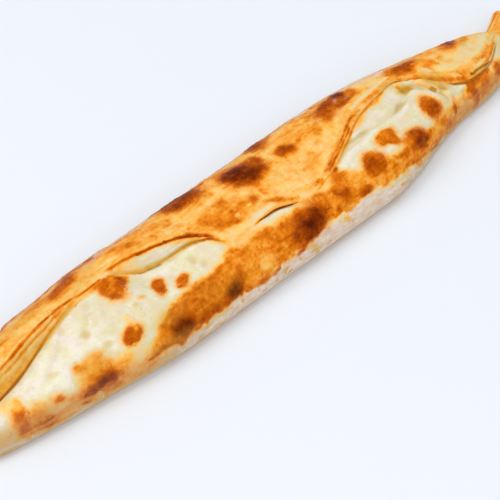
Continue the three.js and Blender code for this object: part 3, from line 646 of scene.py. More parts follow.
# Ridges (+) and creases (-): the side they lie on ("lip" measures from the flap's edge), the points
# (x, v) they pass, half width, height, and their own browning if they have one.
folds = [
    # back shoulder
    ("flap", [(-161, 10), (-145, 10), (-131, 11), (-118, 12), (-104, 11), (-94, 12), (-87, 16)],
     2.2, 0.8, 0.67),
    ("flap", [(-175, 14), (-145, 15), (-118, 17), (-96, 18)], 2.4, -0.5, None),
    ("flap", [(-175, 32), (-150, 32), (-130, 31), (-110, 30)], 2.6, 0.5, None),
    # near pocket
    ("lip", [(-215, 0.6), (-185, -0.3), (-170, 0.2), (-160, 0.6), (-150, 1.1), (-140, 1.9), (-130, 0.4),
             (-118, -0.6), (-108, -1)], 1.2, -0.5, 0.68),
    ("lip", [(-180, -0.6), (-168, -0.6)], 1.3, 0, 0.64),
    ("lip", [(-184, -3.8), (-170, -3.8), (-155, -3.2), (-145, -2.2), (-136, -1.2)], 0.9, -0.4, 0.58),
    ("lip", [(-190, 1.8), (-172, 1.6), (-158, 2.2), (-142, 3.4)], 1.2, 0.4, 0.30),
    ("lip", [(-198, -2.4), (-185, -2.3), (-168, -2.3), (-155, -1.7), (-144, -0.6)], 1.0, 0.4, 0.27),
    ("lip", [(-198, -5.4), (-185, -5.4), (-168, -5.6), (-155, -4.8), (-144, -3.6)], 1.4, 0.4, 0.25),
    ("flap", [(-195, 35), (-179, 35), (-156, 35), (-141, 33), (-126, 31), (-112, 29), (-100, 31)],
     2.2, -0.6, None),
    # second opening
    ("flap", [(-104, 34), (-92, 36.5), (-82, 39.5), (-70, 41)], 2.6, 0.2, 0.47),
    ("lip", [(-98, 1.8), (-88, 1.3), (-78, 1.2), (-66, 1.2), (-55, 1.2), (-41, 0.8)], 3.1, -0.6, 0.70),
    ("lip", [(-80, 1.3), (-66, 1.3), (-54, 1.2), (-44, 0.9)], 2.7, -0.3, 0.83),
    ("front", [(-86, 60), (-72, 57), (-60, 53.5), (-52, 50), (-45, 44), (-40, 40)], 1.6, -0.3, None),
    ("lip", [(-104, 3.4), (-88, 3), (-70, 3), (-52, 3.4)], 1.8, 0.5, 0.31),
    ("lip", [(-62, -2.4), (-52, -2.2), (-44, -1.5)], 1.2, 0.2, 0.36),
    # the flap's lobe over the valley
    ("lip", [(44, 1.2), (55, 1.9), (65, 2.2), (75, 2.1), (85, 2.4), (97, 2.6)], 2.6, 0, 0.57),
    ("lip", [(50, 2.8), (58, 3.2), (68, 3.0), (78, 3.0), (90, 3.1)], 1.1, -0.45, 0.70),
    ("lip", [(46, 0.5), (56, 0.6), (66, 0.7), (80, 0.7)], 0.9, -0.25, 0.68),
    ("lip", [(56, 1.9), (66, 1.9), (78, 1.9)], 0.7, 0.35, 0.48),
    ("lip", [(104, 1.6), (112, 1.2), (121, 0.9)], 1.7, 0.2, 0.51),
    ("lip", [(103, 3.6), (112, 3.2), (120, 2.8), (128, 2.6), (136, 2.5)], 0.9, -0.35, 0.54),
    ("lip", [(94, 5.8), (104, 5.4), (114, 5), (124, 4.6), (134, 4.6)], 1.5, 0.4, 0.13),
    ("lip", [(52, 8), (70, 8.6), (90, 8.4), (108, 9)], 2.4, 0.5, 0.32),
    # folds round the end of the valley
    ("front", [(134, 51), (136, 45), (140, 42)], 1.8, -0.8, 0.54),
    ("flap", [(139, 40), (148, 42), (157, 47), (165, 53)], 1.6, -0.9, 0.58),
    ("front", [(147, 44), (150, 35), (151, 29)], 1.8, -0.9, 0.45),
    ("front", [(156, 32), (159, 25)], 1.8, -0.8, 0.44),
    ("front", [(153, 25), (154, 19)], 1.2, -0.8, 0.45),
    ("front", [(138, 40), (143, 34), (148, 27), (152, 20)], 2.2, 1.0, 0.05),
    ("front", [(158, 22), (166, 19), (172, 18)], 2.4, 0.8, 0.04),
    ("front", [(150, 46), (155, 34), (158, 30)], 1.8, 0.8, 0.36),
    ("flap", [(157, 39), (159, 44), (168, 49), (174, 55)], 1.8, 0.7, 0.34),
    ("flap", [(159, 30), (167, 32), (171, 39)], 2.0, 0.6, 0.52),
    ("flap", [(152, 43), (160, 49), (168, 55), (178, 58)], 1.6, -0.7, 0.60),
    ("flap", [(156, 33), (163, 36), (166, 41)], 1.6, -0.6, 0.48),
    # far end and the twisted tip
    ("lip", [(194, 5), (204, 4.4), (215, 4)], 1.9, -0.3, 0.56),
    ("lip", [(183, 1), (190, 0.3), (197, -0.8), (204, -2)], 0.9, -0.5, 0.84),
    ("lip", [(204, 1.8), (218, 1.6), (236, 1)], 0.9, -0.4, 0.48),
    ("lip", [(186, 7), (197, 7), (208, 7), (219, 6), (232, 5)], 1.8, 0.7, 0.40),
    ("lip", [(198, 10), (208, 10), (218, 9), (228, 8)], 2.0, 0.4, 0.14),
    ("flap", [(223, 11), (242, 6), (252, 9)], 2.4, -0.8, 0.60),
    ("flap", [(228, 20), (243, 14), (256, 14)], 2.2, 0.7, 0.40),
    # valley: the long crease is darkened, painted shade, and the ridge below it is kept palest, a painted
    # highlight
    ("front", [(84, 51), (99, 53), (114, 55)], 2.2, -0.5, None),
    ("front", [(57, 40), (63, 43), (75, 46), (90, 46), (104, 43), (117, 41), (127, 41), (134, 43)],
     1.9, -1.2, 0.10),
    ("front", [(57, 36), (66, 39), (78, 41.5), (92, 42), (106, 39), (118, 37), (128, 38)], 2.4, 0.6, 0.0),
    # wrinkles low on the side
    ("front", [(-150, -5), (-126, -2), (-113, 0)], 1.8, -0.5, 0.30),
    ("front", [(-133, 2), (-119, 4), (-104, 4)], 1.8, 0.5, 0.38),
    ("front", [(-200, 3), (-176, 4), (-163, 5), (-153, 3)], 1.6, -0.5, 0.40),
    ("front", [(-118, 6), (-108, 7.6), (-98, 6.4)], 1.0, -0.4, 0.68),
    ("front", [(160, 16), (160, 8), (155, 3)], 2.0, -0.8, 0.42),
    ("front", [(170, 15), (169, 6), (173, -5)], 2.0, -0.7, 0.40),
    ("front", [(173, 11), (177, 1)], 1.6, 0.6, 0.55),
    ("front", [(100, 9), (116, 5), (130, 0)], 1.4, -0.4, 0.58),
    ("front", [(118, 10), (132, 6), (146, 1)], 1.4, 0.4, 0.46),
]


def distanceToLine(path, across, wanderX, wanderV):
    px, pv = skinX + wanderX, across + wanderV
    nearest = np.full(px.shape, 1e9)
    for (ax, av), (bx, bv) in zip(path[:-1], path[1:]):
        dx, dv = bx - ax, bv - av
        t = np.clip(((px - ax) * dx + (pv - av) * dv) / (dx * dx + dv * dv), 0, 1)
        nearest = np.minimum(nearest, np.hypot(px - ax - t * dx, pv - av - t * dv))
    return nearest


def foldedSkin(spots):
    rise = np.zeros_like(skinX)
    wanderX = 0.7 * dapple(points, 8, 81)
    wanderV = 0.5 * dapple(points, 8, 82) + 0.25 * dapple(points, 3, 83)
    patchy = 0.74 + 0.52 * streaks(9, 2, 85)
    for side, path, reach, height, level in folds:
        own = ~isFlap if side == "front" else isFlap
        distance = distanceToLine(path, lipDistance if side == "lip" else skinV, wanderX, wanderV)
        rise += height * np.where(own, (1 - np.minimum(distance / (reach * 1.7), 1) ** 2) ** 2, 0)
        if level is not None:
            spots = layOver(spots, level, np.where(own, 1 - ease(0.25, 1.45, distance / reach), 0) * patchy)
    return rise, spots


# Small air bubbles baked into the skin, most of them where it is browned.
bubbles = {
    "count": 620, "smallest": 1.3, "largest": 4.2, "height": 0.11, "seed": 7,
    # how often a place is kept on raw skin, and how much more often with its browning
    "onRaw": 0.12, "onBrown": 1.3,
}


def bubbledSkin(brown):
    draw = np.random.default_rng(bubbles["seed"])
    rise = np.zeros_like(brown)
    made = 0
    while made < bubbles["count"]:
        i, j = draw.integers(8, brown.shape[0] - 8), draw.integers(marks["frontWaist"], marks["backWaist"])
        if draw.random() > bubbles["onRaw"] + bubbles["onBrown"] * float(np.clip(brown[i, j], 0, 0.7)):
            continue
        radius = bubbles["smallest"] + (bubbles["largest"] - bubbles["smallest"]) * draw.random() ** 2.2
        window = slice(max(i - 8, 0), i + 9)
        d = np.linalg.norm(points[window] - points[i, j], axis=-1) / radius
        height = bubbles["height"] * radius * draw.uniform(0.4, 1.0)
        rise[window] += height * np.where(d < 1, (1 - d * d) ** 2, 0)
        made += 1
    return rise


def waves():  # low swells of the hand-rolled dough
    x, y = points[..., 0], points[..., 1]
    slow = np.sin(x * 0.061 + 1.3) * np.sin(y * 0.11 + x * 0.017)
    quick = np.sin(x * 0.173 - y * 0.09) * np.sin(y * 0.21 + 0.6)
    return 0.35 * slow + 0.2 * quick


finish = {
    # x, v up to which the front is darkened and dulled, partly toasting and partly painted shade low on the
    # side; it fades out over the last toastAndShadeSoft mm
    "toastAndShadeTop": [(-260, 16), (-190, 19), (-150, 16), (-112, 13), (-60, 11), (130, 11), (155, 15), (260, 16)],
    "toastAndShadeSoft": 11,
    "toastAndShadeMost": 0.9,  # low on the flap's side, and on the underside
    "gloss": 0.10,
    "shiny": patches([(-160, 36, 30, 13, 28, 1), (72, 40, 24, 7, 0, 1)]),
    "pimples": patches([(-138, 50, 24, 10, 12, 1)]),
    "pimpleHeight": 0.45,
}

base, spots = brownCrust()
foldRise, (spotLevel, cover) = foldedSkin(spots)
brown = base * (1 - cover) + spotLevel
spot = np.where(cover > 0.002, spotLevel / np.maximum(cover, 0.002), base)
flour = flourMask()
oilAndShade = stainAndShadeSkin()
# the low sides are darker and duller: browner crust near the base, and painted shade where little light
# reaches
toastAndShadeTop = along(finish["toastAndShadeTop"], skinX)
toastAndShadeFlap = finish["toastAndShadeMost"] * (1 - ease(10, 28, skinV)) * (1 - 0.85 * ease(150, 190, skinX))
toastAndShade = np.where(isFlap, toastAndShadeFlap, 1 - ease(toastAndShadeTop - finish["toastAndShadeSoft"], toastAndShadeTop, skinV))
toastAndShade = toastAndShade + (finish["toastAndShadeMost"] - toastAndShade) * under
shiny = sum(patchWeight("front", row, 0, 0) for row in finish["shiny"])
gloss = np.clip(finish["gloss"] + 0.26 * layered(points, 12, 111) + 0.4 * shiny, 0, 1) * ease(4, 12, skinV)

upper, inward = ease(3, 10, points[..., 2]), ease(0, 12, endDistance)
wanderX, wanderV = 0.6 * dapple(points, 5, 91), 0.6 * dapple(points, 5, 92)
blisterRise = sum(row[7] * patchWeight(side, row, wanderX, wanderV, 1.2)
                  for side in ("front", "flap") for row in browning[side] if row[7])
pimples = patchWeight("front", finish["pimples"][0], 0, 0) * ease(0.1, 0.7, layered(points, 3.4, 141, 2))
grainRise = 0.26 * layered(points, 7, 101) + 0.20 * layered(points, 3.2, 105, 2) + 0.14 * streaks(16, 3, 108)
grainRise = grainRise + finish["pimpleHeight"] * pimples
rise = foldRise + blisterRise + waves() + (grainRise + bubbledSkin(brown)) * ease(0.5, 5, gapDistance)
skin = points + normals * (upper * inward * rise)[..., None]
print("crust raised by up to", round(float(rise.max()), 2), "mm")


def skinMesh(name):
    stations, around = skin.shape[:2]
    tips = np.stack([skin[0].mean(0), skin[-1].mean(0)])
    vertices = np.concatenate([skin.reshape(-1, 3), tips]) * mm
    i, j = np.meshgrid(np.arange(stations - 1), np.arange(around), indexing="ij")
    a, b = i * around + j, i * around + (j + 1) % around
    quads = np.stack([a, a + around, b + around, b], -1).reshape(-1, 4)
    ring, last = np.arange(around), (stations - 1) * around
    nearFan = np.stack([ring, (ring + 1) % around, np.full(around, len(vertices) - 2)], -1)
    farFan = np.stack([ring + last, np.full(around, len(vertices) - 1), (ring + 1) % around + last], -1)
    mesh = bpy.data.meshes.new(name)
    mesh.from_pydata(vertices.tolist(), [], quads.tolist() + nearFan.tolist() + farFan.tolist())
    painted = {
        "brown": base, "spot": spot, "cover": cover, "flour": flour,
        "oilAndShade": oilAndShade, "toastAndShade": toastAndShade, "gloss": gloss,
    }
    for label, values in painted.items():
        layer = mesh.attributes.new(label, "FLOAT", "POINT")
        layer.data.foreach_set("value", np.append(values.reshape(-1), [values[0].mean(), values[-1].mean()]))
    layer = mesh.attributes.new("flow", "FLOAT_VECTOR", "POINT")
    flowPoints = np.concatenate([flow.reshape(-1, 3), flow[[0, -1], 0]]) * mm
    layer.data.foreach_set("vector", flowPoints.reshape(-1))
    mesh.shade_smooth()
    mesh.update()
    piece = bpy.data.objects.new(name, mesh)
    bpy.context.scene.collection.objects.link(piece)
    return piece


# Materials

def newGroup(name, inputs, outputs):
    group = bpy.data.node_groups.new(name, "ShaderNodeTree")
    for label, kind, value in inputs:
        socket = group.interface.new_socket(label, in_out="INPUT", socket_type="NodeSocket" + kind)
        if value is not None:
            socket.default_value = value
    for label, kind in outputs:
        group.interface.new_socket(label, in_out="OUTPUT", socket_type="NodeSocket" + kind)
    return group, group.nodes.new("NodeGroupInput"), group.nodes.new("NodeGroupOutput")


def feed(tree, value, socket):  # a number or a colour is set on the socket, anything else is linked to it
    if isinstance(value, (int, float)):
        socket.default_value = value
    elif isinstance(value, tuple):
        socket.default_value = value + (1.0,)
    else:
        tree.links.new(value, socket)


def addNoise(tree, vector, scale, detail=3.0, roughness=0.55):
    node = tree.nodes.new("ShaderNodeTexNoise")
    for label, value in (("Scale", scale), ("Detail", detail), ("Roughness", roughness), ("Vector", vector)):
        feed(tree, value, node.inputs[label])
    return node.outputs["Fac"]


def addMath(tree, operation, a, b, clamp=False):
    node = tree.nodes.new("ShaderNodeMath")
    node.operation = operation
    node.use_clamp = clamp
    feed(tree, a, node.inputs[0])
    feed(tree, b, node.inputs[1])
    return node.outputs[0]


def addSum(tree, *parts):  # of values, each times its weight
    total = None
    for value, weight in parts:
        weighted = addMath(tree, "MULTIPLY", value, weight)
        total = addMath(tree, "ADD", total, weighted) if total else weighted
    return total


def addRange(tree, value, fromLow, fromHigh, toLow=0.0, toHigh=1.0, smooth=True):
    node = tree.nodes.new("ShaderNodeMapRange")
    node.interpolation_type = "SMOOTHSTEP" if smooth else "LINEAR"
    limits = {"From Min": fromLow, "From Max": fromHigh, "To Min": toLow, "To Max": toHigh}
    for label, number in limits.items():
        node.inputs[label].default_value = number
    tree.links.new(value, node.inputs["Value"])
    return node.outputs["Result"]


def addMix(tree, factor, a, b, blend="MIX"):
    node = tree.nodes.new("ShaderNodeMix")
    node.data_type = "RGBA"
    node.blend_type = blend
    for value, socket in ((factor, node.inputs[0]), (a, node.inputs[6]), (b, node.inputs[7])):
        feed(tree, value, socket)
    return node.outputs[2]


def addStretch(tree, vector, lengthwise):  # noise drawn out along the loaf
    node = tree.nodes.new("ShaderNodeMapping")
    node.inputs["Scale"].default_value = (lengthwise, 1.0, 1.0)
    tree.links.new(vector, node.inputs["Vector"])
    return node.outputs["Vector"]


crust = {
    # browning, colour
    "ramp": [
        (0.00, (0.835, 0.785, 0.68)), (0.07, (0.76, 0.68, 0.485)), (0.17, (0.80, 0.64, 0.34)),
        (0.28, (0.90, 0.58, 0.20)), (0.39, (0.93, 0.45, 0.085)), (0.50, (0.85, 0.285, 0.019)),
        (0.57, (0.73, 0.19, 0.006)), (0.64, (0.58, 0.123, 0.002)), (0.72, (0.43, 0.076, 0.001)),
        (0.82, (0.26, 0.039, 0.001)), (0.91, (0.145, 0.018, 0.001)), (1.00, (0.08, 0.010, 0.002)),
    ],
    "mottle": 0.24,
    "spotMottle": 0.15,
    "fringe": 0.6,
    "dusky": (0.50, 0.34, 0.19),
    "rosy": (1.0, 0.955, 0.98),
    "yellow": (0.985, 0.995, 0.86),
    "pore": (0.76, 0.64, 0.52),
    "toastedAndShaded": (0.81, 0.71, 0.65),
    "flourColour": (0.81, 0.71, 0.62),
    "flourTan": (0.71, 0.50, 0.355),
    "oilAndShadeColour": (0.44, 0.28, 0.03),
    "oilAndShadeStrength": 0.85,
    "roughness": (0.62, 0.40),
    "butterRoughness": 0.22,
    "specular": 0.015,
    "grainHeight": 0.46,
    # the scattered flour grains: two colours that mingle
    "grainShade": (0.80, 0.69, 0.58),
    "grainLight": (0.90, 0.85, 0.78),
    "grainRoughness": 0.9,
}


def browningGroup():
    group, given, result = newGroup(
        "ovenBrowning",
        [("Brown", "Float", 0.3), ("Place", "Vector", None), ("Flow", "Vector", None),
         ("Mottle", "Float", 0.1)],
        [("Color", "Color"), ("Level", "Float")],
    )
    place, flowing, brown = given.outputs["Place"], given.outputs["Flow"], given.outputs["Brown"]
    broad = addNoise(group, place, 190, 4, 0.6)
    fine = addNoise(group, place, 430, 2, 0.5)
    streak = addNoise(group, addStretch(group, flowing, 0.2), 480, 3, 0.6)
    lumps = addMath(group, "SUBTRACT", addSum(group, (broad, 1.3), (fine, 0.45), (streak, 0.55)), 1.15)
    strength = addRange(group, brown, 0.03, 0.35, 0.34, 1.0)
    change = addMath(group, "MULTIPLY", addMath(group, "MULTIPLY", lumps, given.outputs["Mottle"]), strength)
    level = addMath(group, "ADD", brown, addMath(group, "MULTIPLY", change, 2.0))

    # pinpricks: a few cells turn darker, a few stay pale, and these pale cells also paint small glints
    cells = group.nodes.new("ShaderNodeTexVoronoi")
    cells.inputs["Scale"].default_value = 280
    group.links.new(place, cells.inputs["Vector"])
    pick = group.nodes.new("ShaderNodeSeparateColor")
    group.links.new(cells.outputs["Color"], pick.inputs["Color"])
    dot = addRange(group, cells.outputs["Distance"], 0.14, 0.34, 1.0, 0.0)
    darker = addMath(group, "MULTIPLY", dot, addRange(group, pick.outputs["Red"], 0.80, 0.92))
    paleSpecksAndGlints = addMath(group, "MULTIPLY", dot, addRange(group, pick.outputs["Green"], 0.84, 0.92))
    level = addMath(group, "ADD", level, addMath(group, "MULTIPLY", darker, 0.06))
    level = addMath(group, "SUBTRACT", level, addMath(group, "MULTIPLY", paleSpecksAndGlints, 0.08), clamp=True)

    ramp = group.nodes.new("ShaderNodeValToRGB")
    ramp.color_ramp.interpolation = "LINEAR"
    stops = ramp.color_ramp.elements
    while len(stops) < len(crust["ramp"]):
        stops.new(0.5)
    for stop, (position, colour) in zip(stops, crust["ramp"]):
        stop.position = position
        stop.color = colour + (1.0,)
    group.links.new(level, ramp.inputs["Fac"])

    # hue drifts between rosy and yellow, and fine pores darken the skin
    drift = addRange(group, addNoise(group, place, 130, 3, 0.6), 0.38, 0.62)
    hue = addMix(group, drift, crust["rosy"], crust["yellow"])
    colour = addMix(group, 1.0, ramp.outputs["Color"], hue, "MULTIPLY")
    pores = addRange(group, addNoise(group, place, 1500, 2, 0.7), 0.56, 0.72, 0.0, 0.26)
    colour = addMix(group, pores, colour, addMix(group, 1.0, colour, crust["pore"], "MULTIPLY"))
    group.links.new(colour, result.inputs["Color"])
    group.links.new(level, result.inputs["Level"])
    return group


def dustGroup():
    group, given, result = newGroup(
        "flourDust",
        [("Color", "Color", None), ("Dust", "Float", 0.0), ("Place", "Vector", None),
         ("Flow", "Vector", None)],
        [("Color", "Color"), ("Dusted", "Float")],
    )
    place = given.outputs["Place"]
    cloud = addNoise(group, place, 260, 4, 0.6)
    speck = addNoise(group, place, 1500, 2, 0.7)
    drag = addNoise(group, addStretch(group, given.outputs["Flow"], 0.4), 300, 4, 0.65)
    cover = addSum(group, (cloud, 0.55), (speck, 0.25), (drag, 0.3))
    cover = addMath(group, "ADD", cover, addRange(group, given.outputs["Dust"], 0.0, 1.0, -0.75, 0.45, False))
    cover = addRange(group, cover, 0.25, 0.85)
    tint = addMix(group, addRange(group, drag, 0.35, 0.7), crust["flourTan"], crust["flourColour"])
    mixed = addMix(group, addMath(group, "MULTIPLY", cover, 0.9), given.outputs["Color"], tint)
    group.links.new(mixed, result.inputs["Color"])
    group.links.new(cover, result.inputs["Dusted"])
    return group


def grainGroup():
    group, given, result = newGroup("crustGrain", [("Place", "Vector", None), ("Flow", "Vector", None)],
                                    [("Height", "Float")])
    place = given.outputs["Place"]
    pores = addNoise(group, place, 900, 4, 0.65)
    lumps = addNoise(group, place, 330, 3, 0.5)
    pull = addNoise(group, addStretch(group, given.outputs["Flow"], 0.2), 600, 3, 0.6)
    group.links.new(addSum(group, (pores, 0.35), (lumps, 0.45), (pull, 0.3)), result.inputs["Height"])
    return group


def placeGroup(tree, group, **links):
    node = tree.nodes.new("ShaderNodeGroup")
    node.node_tree = group
    for label, value in links.items():
        feed(tree, value, node.inputs[label])
    return node


def readAttribute(tree, name, output="Fac"):
    node = tree.nodes.new("ShaderNodeAttribute")
    node.attribute_name = name
    return node.outputs[output]


def newMaterial(name):
    material = bpy.data.materials.new(name)
    material.use_nodes = True
    return material, material.node_tree, material.node_tree.nodes["Principled BSDF"]


groups = {"browning": browningGroup(), "dust": dustGroup(), "grain": grainGroup()}


def crustMaterial(name):
    material, tree, shader = newMaterial(name)
    place = tree.nodes.new("ShaderNodeTexCoord").outputs["Object"]
    flowing = readAttribute(tree, "flow", "Vector")
    brown, spot = readAttribute(tree, "brown"), readAttribute(tree, "spot")
    ragged = addMath(tree, "SUBTRACT", addNoise(tree, place, 520, 3, 0.6), 0.5)
    ragged = addMath(tree, "MULTIPLY", ragged, 0.4)
    cover = addMath(tree, "ADD", readAttribute(tree, "cover"), ragged)
    cover = addRange(tree, cover, 0.03, 0.97, smooth=False)
    cover = addMath(tree, "MULTIPLY", cover, addRange(tree, readAttribute(tree, "cover"), 0.0, 0.15))
    between = addMath(tree, "MULTIPLY", addMath(tree, "SUBTRACT", spot, brown), cover)
    between = addMath(tree, "ADD", brown, between)
    browned, spotted, blended = (
        placeGroup(tree, groups["browning"], Brown=level, Place=place, Flow=flowing, Mottle=crust[mottle])
        for level, mottle in ((brown, "mottle"), (spot, "spotMottle"), (between, "spotMottle"))
    )
    painted = addMix(tree, cover, browned.outputs["Color"], spotted.outputs["Color"])
    painted = addMix(tree, crust["fringe"], painted, blended.outputs["Color"])
    level = blended.outputs["Level"]
    # painted shade and toasting on the low sides: the colour is multiplied darker and dulled towards dusky
    toastedAndShaded = addMix(tree, 1.0, painted, crust["toastedAndShaded"], "MULTIPLY")
    toastedAndShaded = addMix(tree, addRange(tree, level, 0.3, 0.8, 0.36, 0.14), toastedAndShaded, crust["dusky"])
    toastedAndShaded = addMix(tree, readAttribute(tree, "toastAndShade"), painted, toastedAndShaded)
    stainAndShadeAmount = addMath(tree, "MULTIPLY", readAttribute(tree, "oilAndShade"), crust["oilAndShadeStrength"])
    stainedAndShaded = addMix(tree, stainAndShadeAmount, toastedAndShaded, crust["oilAndShadeColour"])
    dusted = placeGroup(tree, groups["dust"], Color=stainedAndShaded, Dust=readAttribute(tree, "flour"), Place=place,
                        Flow=flowing)
    tree.links.new(dusted.outputs["Color"], shader.inputs["Base Color"])
    dry, greasy = crust["roughness"]
    shine = addRange(tree, level, 0.1, 0.75, dry, greasy)
    shine = addMath(tree, "ADD", shine, addMath(tree, "MULTIPLY", dusted.outputs["Dusted"], 0.25))
    tree.links.new(shine, shader.inputs["Roughness"])
    butter = addRange(tree, addNoise(tree, place, 420, 3), 0.5, 0.7, 0.0, 1.0)
    butter = addMath(tree, "MULTIPLY", butter, readAttribute(tree, "gloss"))
    butter = addMath(tree, "MULTIPLY", butter, addRange(tree, dusted.outputs["Dusted"], 0.1, 0.6, 1.0, 0.0))
    tree.links.new(butter, shader.inputs["Coat Weight"])
    shader.inputs["Coat Roughness"].default_value = crust["butterRoughness"]
    shader.inputs["Specular IOR Level"].default_value = crust["specular"]
    bump = tree.nodes.new("ShaderNodeBump")
    bump.inputs["Strength"].default_value = 1.0
    bump.inputs["Distance"].default_value = crust["grainHeight"] * mm
    grain = placeGroup(tree, groups["grain"], Place=place, Flow=flowing)
    tree.links.new(grain.outputs["Height"], bump.inputs["Height"])
    tree.links.new(bump.outputs["Normal"], shader.inputs["Normal"])
    return material


def plainMaterial(name, colour, roughness):
    material, tree, shader = newMaterial(name)
    feed(tree, colour, shader.inputs["Base Color"])
    shader.inputs["Roughness"].default_value = roughness
    return material


def flourMaterial(name):
    material, tree, shader = newMaterial(name)
    place = tree.nodes.new("ShaderNodeTexCoord").outputs["Object"]
    patchy = addRange(tree, addNoise(tree, place, 700, 2), 0.35, 0.65)
    colour = addMix(tree, patchy, crust["grainShade"], crust["grainLight"])
    tree.links.new(colour, shader.inputs["Base Color"])
    shader.inputs["Roughness"].default_value = crust["grainRoughness"]
    return material


bakedCrust = crustMaterial("bakedCrust")
bread = skinMesh("breadSkin")
bread.data.materials.append(bakedCrust)
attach(bread, "root")
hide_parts("pide")
print("bread skin:", len(bread.data.polygons), "faces")


# Geometry Nodes: little domes over the skin, thicker where the named attribute is high.

def scatterTree(name, attribute):
    tree = bpy.data.node_groups.new(name, "GeometryNodeTree")
    inputs = {
        "Geometry": "Geometry", "Density": "Float", "Seed": "Int", "Smallest": "Float", "Largest": "Float",
        "Flatness": "Float", "Sunk": "Float", "Segments": "Int", "Rings": "Int", "Material": "Material",
    }
    sockets = {}
    for label, kind in inputs.items():
        socket = tree.interface.new_socket(label, in_out="INPUT", socket_type="NodeSocket" + kind)
        sockets[label] = socket.identifier
    tree.interface.new_socket("Geometry", in_out="OUTPUT", socket_type="NodeSocketGeometry")

    kinds = {
        "given": "NodeGroupInput", "result": "NodeGroupOutput", "wanted": "GeometryNodeInputNamedAttribute",
        "density": "ShaderNodeMath", "points": "GeometryNodeDistributePointsOnFaces",
        "radius": "FunctionNodeRandomValue", "stretch": "FunctionNodeRandomValue", "wide": "ShaderNodeMath",
        "high": "ShaderNodeMath", "down": "ShaderNodeMath", "size": "ShaderNodeCombineXYZ",
        "offset": "ShaderNodeVectorMath", "move": "GeometryNodeSetPosition",
        "ball": "GeometryNodeMeshUVSphere", "copies": "GeometryNodeInstanceOnPoints",
        "solid": "GeometryNodeRealizeInstances",
        "smooth": "GeometryNodeSetShadeSmooth", "dressed": "GeometryNodeSetMaterial",
    }
    nodes = {label: tree.nodes.new(kind) for label, kind in kinds.items()}
    nodes["wanted"].data_type = "FLOAT"
    for label in ("density", "wide", "high", "down"):
        nodes[label].operation = "MULTIPLY"
    nodes["offset"].operation = "SCALE"
    for label, socket, value in (("wanted", "Name", attribute), ("stretch", 2, 0.75), ("stretch", 3, 1.35),
                                 ("stretch", "Seed", 5), ("ball", "Radius", 1.0)):
        nodes[label].inputs[socket].default_value = value
    links = (
        ("wanted", "Attribute", "density", 0), ("given", "Density", "density", 1),
        ("given", "Geometry", "points", "Mesh"), ("density", 0, "points", "Density"),
        ("given", "Seed", "points", "Seed"),
        ("given", "Smallest", "radius", 2), ("given", "Largest", "radius", 3),
        # width, length and height of each dome
        ("radius", 1, "wide", 0), ("stretch", 1, "wide", 1), ("radius", 1, "high", 0),
        ("given", "Flatness", "high", 1), ("wide", 0, "size", "X"), ("radius", 1, "size", "Y"),
        ("high", 0, "size", "Z"),
        # how deep it sits in the skin
        ("high", 0, "down", 0), ("given", "Sunk", "down", 1), ("points", "Normal", "offset", 0),
        ("down", 0, "offset", "Scale"),
        ("points", "Points", "move", "Geometry"), ("offset", 0, "move", "Offset"),
        ("given", "Segments", "ball", "Segments"), ("given", "Rings", "ball", "Rings"),
        ("move", "Geometry", "copies", "Points"), ("ball", "Mesh", "copies", "Instance"),
        ("points", "Rotation", "copies", "Rotation"), ("size", "Vector", "copies", "Scale"),
        ("copies", "Instances", "solid", "Geometry"), ("solid", "Geometry", "smooth", "Geometry"),
        ("smooth", "Geometry", "dressed", "Geometry"), ("given", "Material", "dressed", "Material"),
        ("dressed", "Geometry", "result", "Geometry"),
    )
    for start, output, end, socket in links:
        tree.links.new(nodes[start].outputs[output], nodes[end].inputs[socket])
    return tree, sockets


def scatterOver(skinPiece, name, attribute, values, amounts, material):
    carrier = bpy.data.objects.new(name, skinPiece.data.copy())
    bpy.context.scene.collection.objects.link(carrier)
    layer = carrier.data.attributes.new(attribute, "FLOAT", "POINT")
    layer.data.foreach_set("value", np.append(np.clip(values, 0, 1).reshape(-1), [0, 0]))
    tree, sockets = scatterTree(name + "Tree", attribute)
    scatter = carrier.modifiers.new("scatter", "NODES")
    scatter.node_group = tree
    for label, value in amounts.items():
        scatter[sockets[label]] = value
    scatter[sockets["Material"]] = material
    evaluated = carrier.evaluated_get(bpy.context.evaluated_depsgraph_get())
    mesh = bpy.data.meshes.new_from_object(evaluated)
    carrier.modifiers.remove(scatter)
    carrier.data = mesh
    mesh.name = name
    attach(carrier, "root")
    print(name, len(mesh.polygons), "faces")


# Density is a count for each square metre.
crustBubbles = {
    "Density": 90000.0, "Seed": 4, "Smallest": 0.5 * mm, "Largest": 1.25 * mm,
    "Flatness": 0.34, "Sunk": -0.25, "Segments": 8, "Rings": 5,
}
flourGrains = {
    "Density": 350000.0, "Seed": 9, "Smallest": 0.12 * mm, "Largest": 0.30 * mm,
    "Flatness": 0.7, "Sunk": 0.2, "Segments": 6, "Rings": 3,
}

onTop = ease(4, 9, points[..., 2]) * ease(0, 14, endDistance) * ease(1.5, 3, gapDistance)
bubbling = np.clip(brown - 0.34, 0, 0.4) / 0.4
bubbling = onTop * (1 - 0.7 * flour) * (0.06 + bubbling) * (0.6 + 0.6 * layered(points, 11, 121))
scatterOver(bread, "crustBubbles", "bubbling", bubbling, crustBubbles, bakedCrust)
floury = onTop * np.clip(flour, 0, 1) * (0.5 + 0.5 * layered(points, 6, 131)) * (1 - ease(0.5, 0.68, brown))
scatterOver(bread, "flourGrains", "floury", floury, flourGrains, flourMaterial("flourGrain"))


# Stage

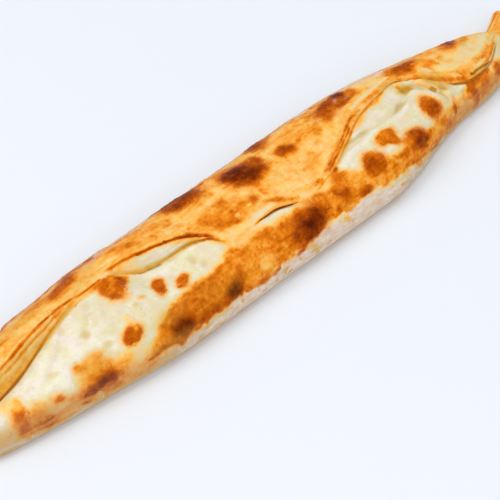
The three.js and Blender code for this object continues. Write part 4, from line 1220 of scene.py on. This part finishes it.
stage = {
    "floorColour": (0.80, 0.83, 0.87),
    "floorRoughness": 0.85,
    "floorSize": 8,
    "worldColour": (0.94, 0.965, 1.0),
    "worldStrength": 0.62,
    "lights": [
        # name, place, size, power
        ("windowLight", (-1.9, 1.0, 2.7), 1.8, 44),
        ("fillLight", (-1.4, -1.8, 2.0), 2.4, 25),
        ("ceilingLight", (0.62, -0.12, 2.1), 0.4, 5.4),
    ],
    "target": (-22, -17.86, 15),
    "azimuth": -44.63,
    "elevation": 48.0,
    "distance": 832.1,
    "fieldOfView": 20.0,
}


def aim(thing, target):
    thing.rotation_euler = (target - thing.location).to_track_quat("-Z", "Y").to_euler()


def setStage():
    bpy.ops.mesh.primitive_plane_add(size=stage["floorSize"])
    floor = bpy.context.object
    floor.name = "floor"
    floor.data.materials.append(plainMaterial("floorWhite", stage["floorColour"], stage["floorRoughness"]))
    world = bpy.data.worlds.new("daylight")
    world.use_nodes = True
    sky = world.node_tree.nodes["Background"]
    sky.inputs["Color"].default_value = stage["worldColour"] + (1.0,)
    sky.inputs["Strength"].default_value = stage["worldStrength"]
    bpy.context.scene.world = world
    for name, place, width, power in stage["lights"]:
        lamp = bpy.data.lights.new(name, "AREA")
        lamp.size = width
        lamp.energy = power
        light = bpy.data.objects.new(name, lamp)
        light.location = place
        aim(light, Vector((0, 0, 0)))
        bpy.context.scene.collection.objects.link(light)
    azimuth, elevation = math.radians(stage["azimuth"]), math.radians(stage["elevation"])
    level = math.cos(elevation)
    back = Vector((math.sin(azimuth) * level, -math.cos(azimuth) * level, math.sin(elevation)))
    camera = bpy.data.objects.new("camera", bpy.data.cameras.new("camera"))
    target = Vector(stage["target"]) * mm
    camera.location = target + back * stage["distance"] * mm
    aim(camera, target)
    camera.data.lens = camera.data.sensor_width / 2 / math.tan(math.radians(stage["fieldOfView"]) / 2)
    bpy.context.scene.collection.objects.link(camera)
    bpy.context.scene.camera = camera
    bpy.context.scene.view_settings.view_transform = "Standard"


setStage()
print("stage set")
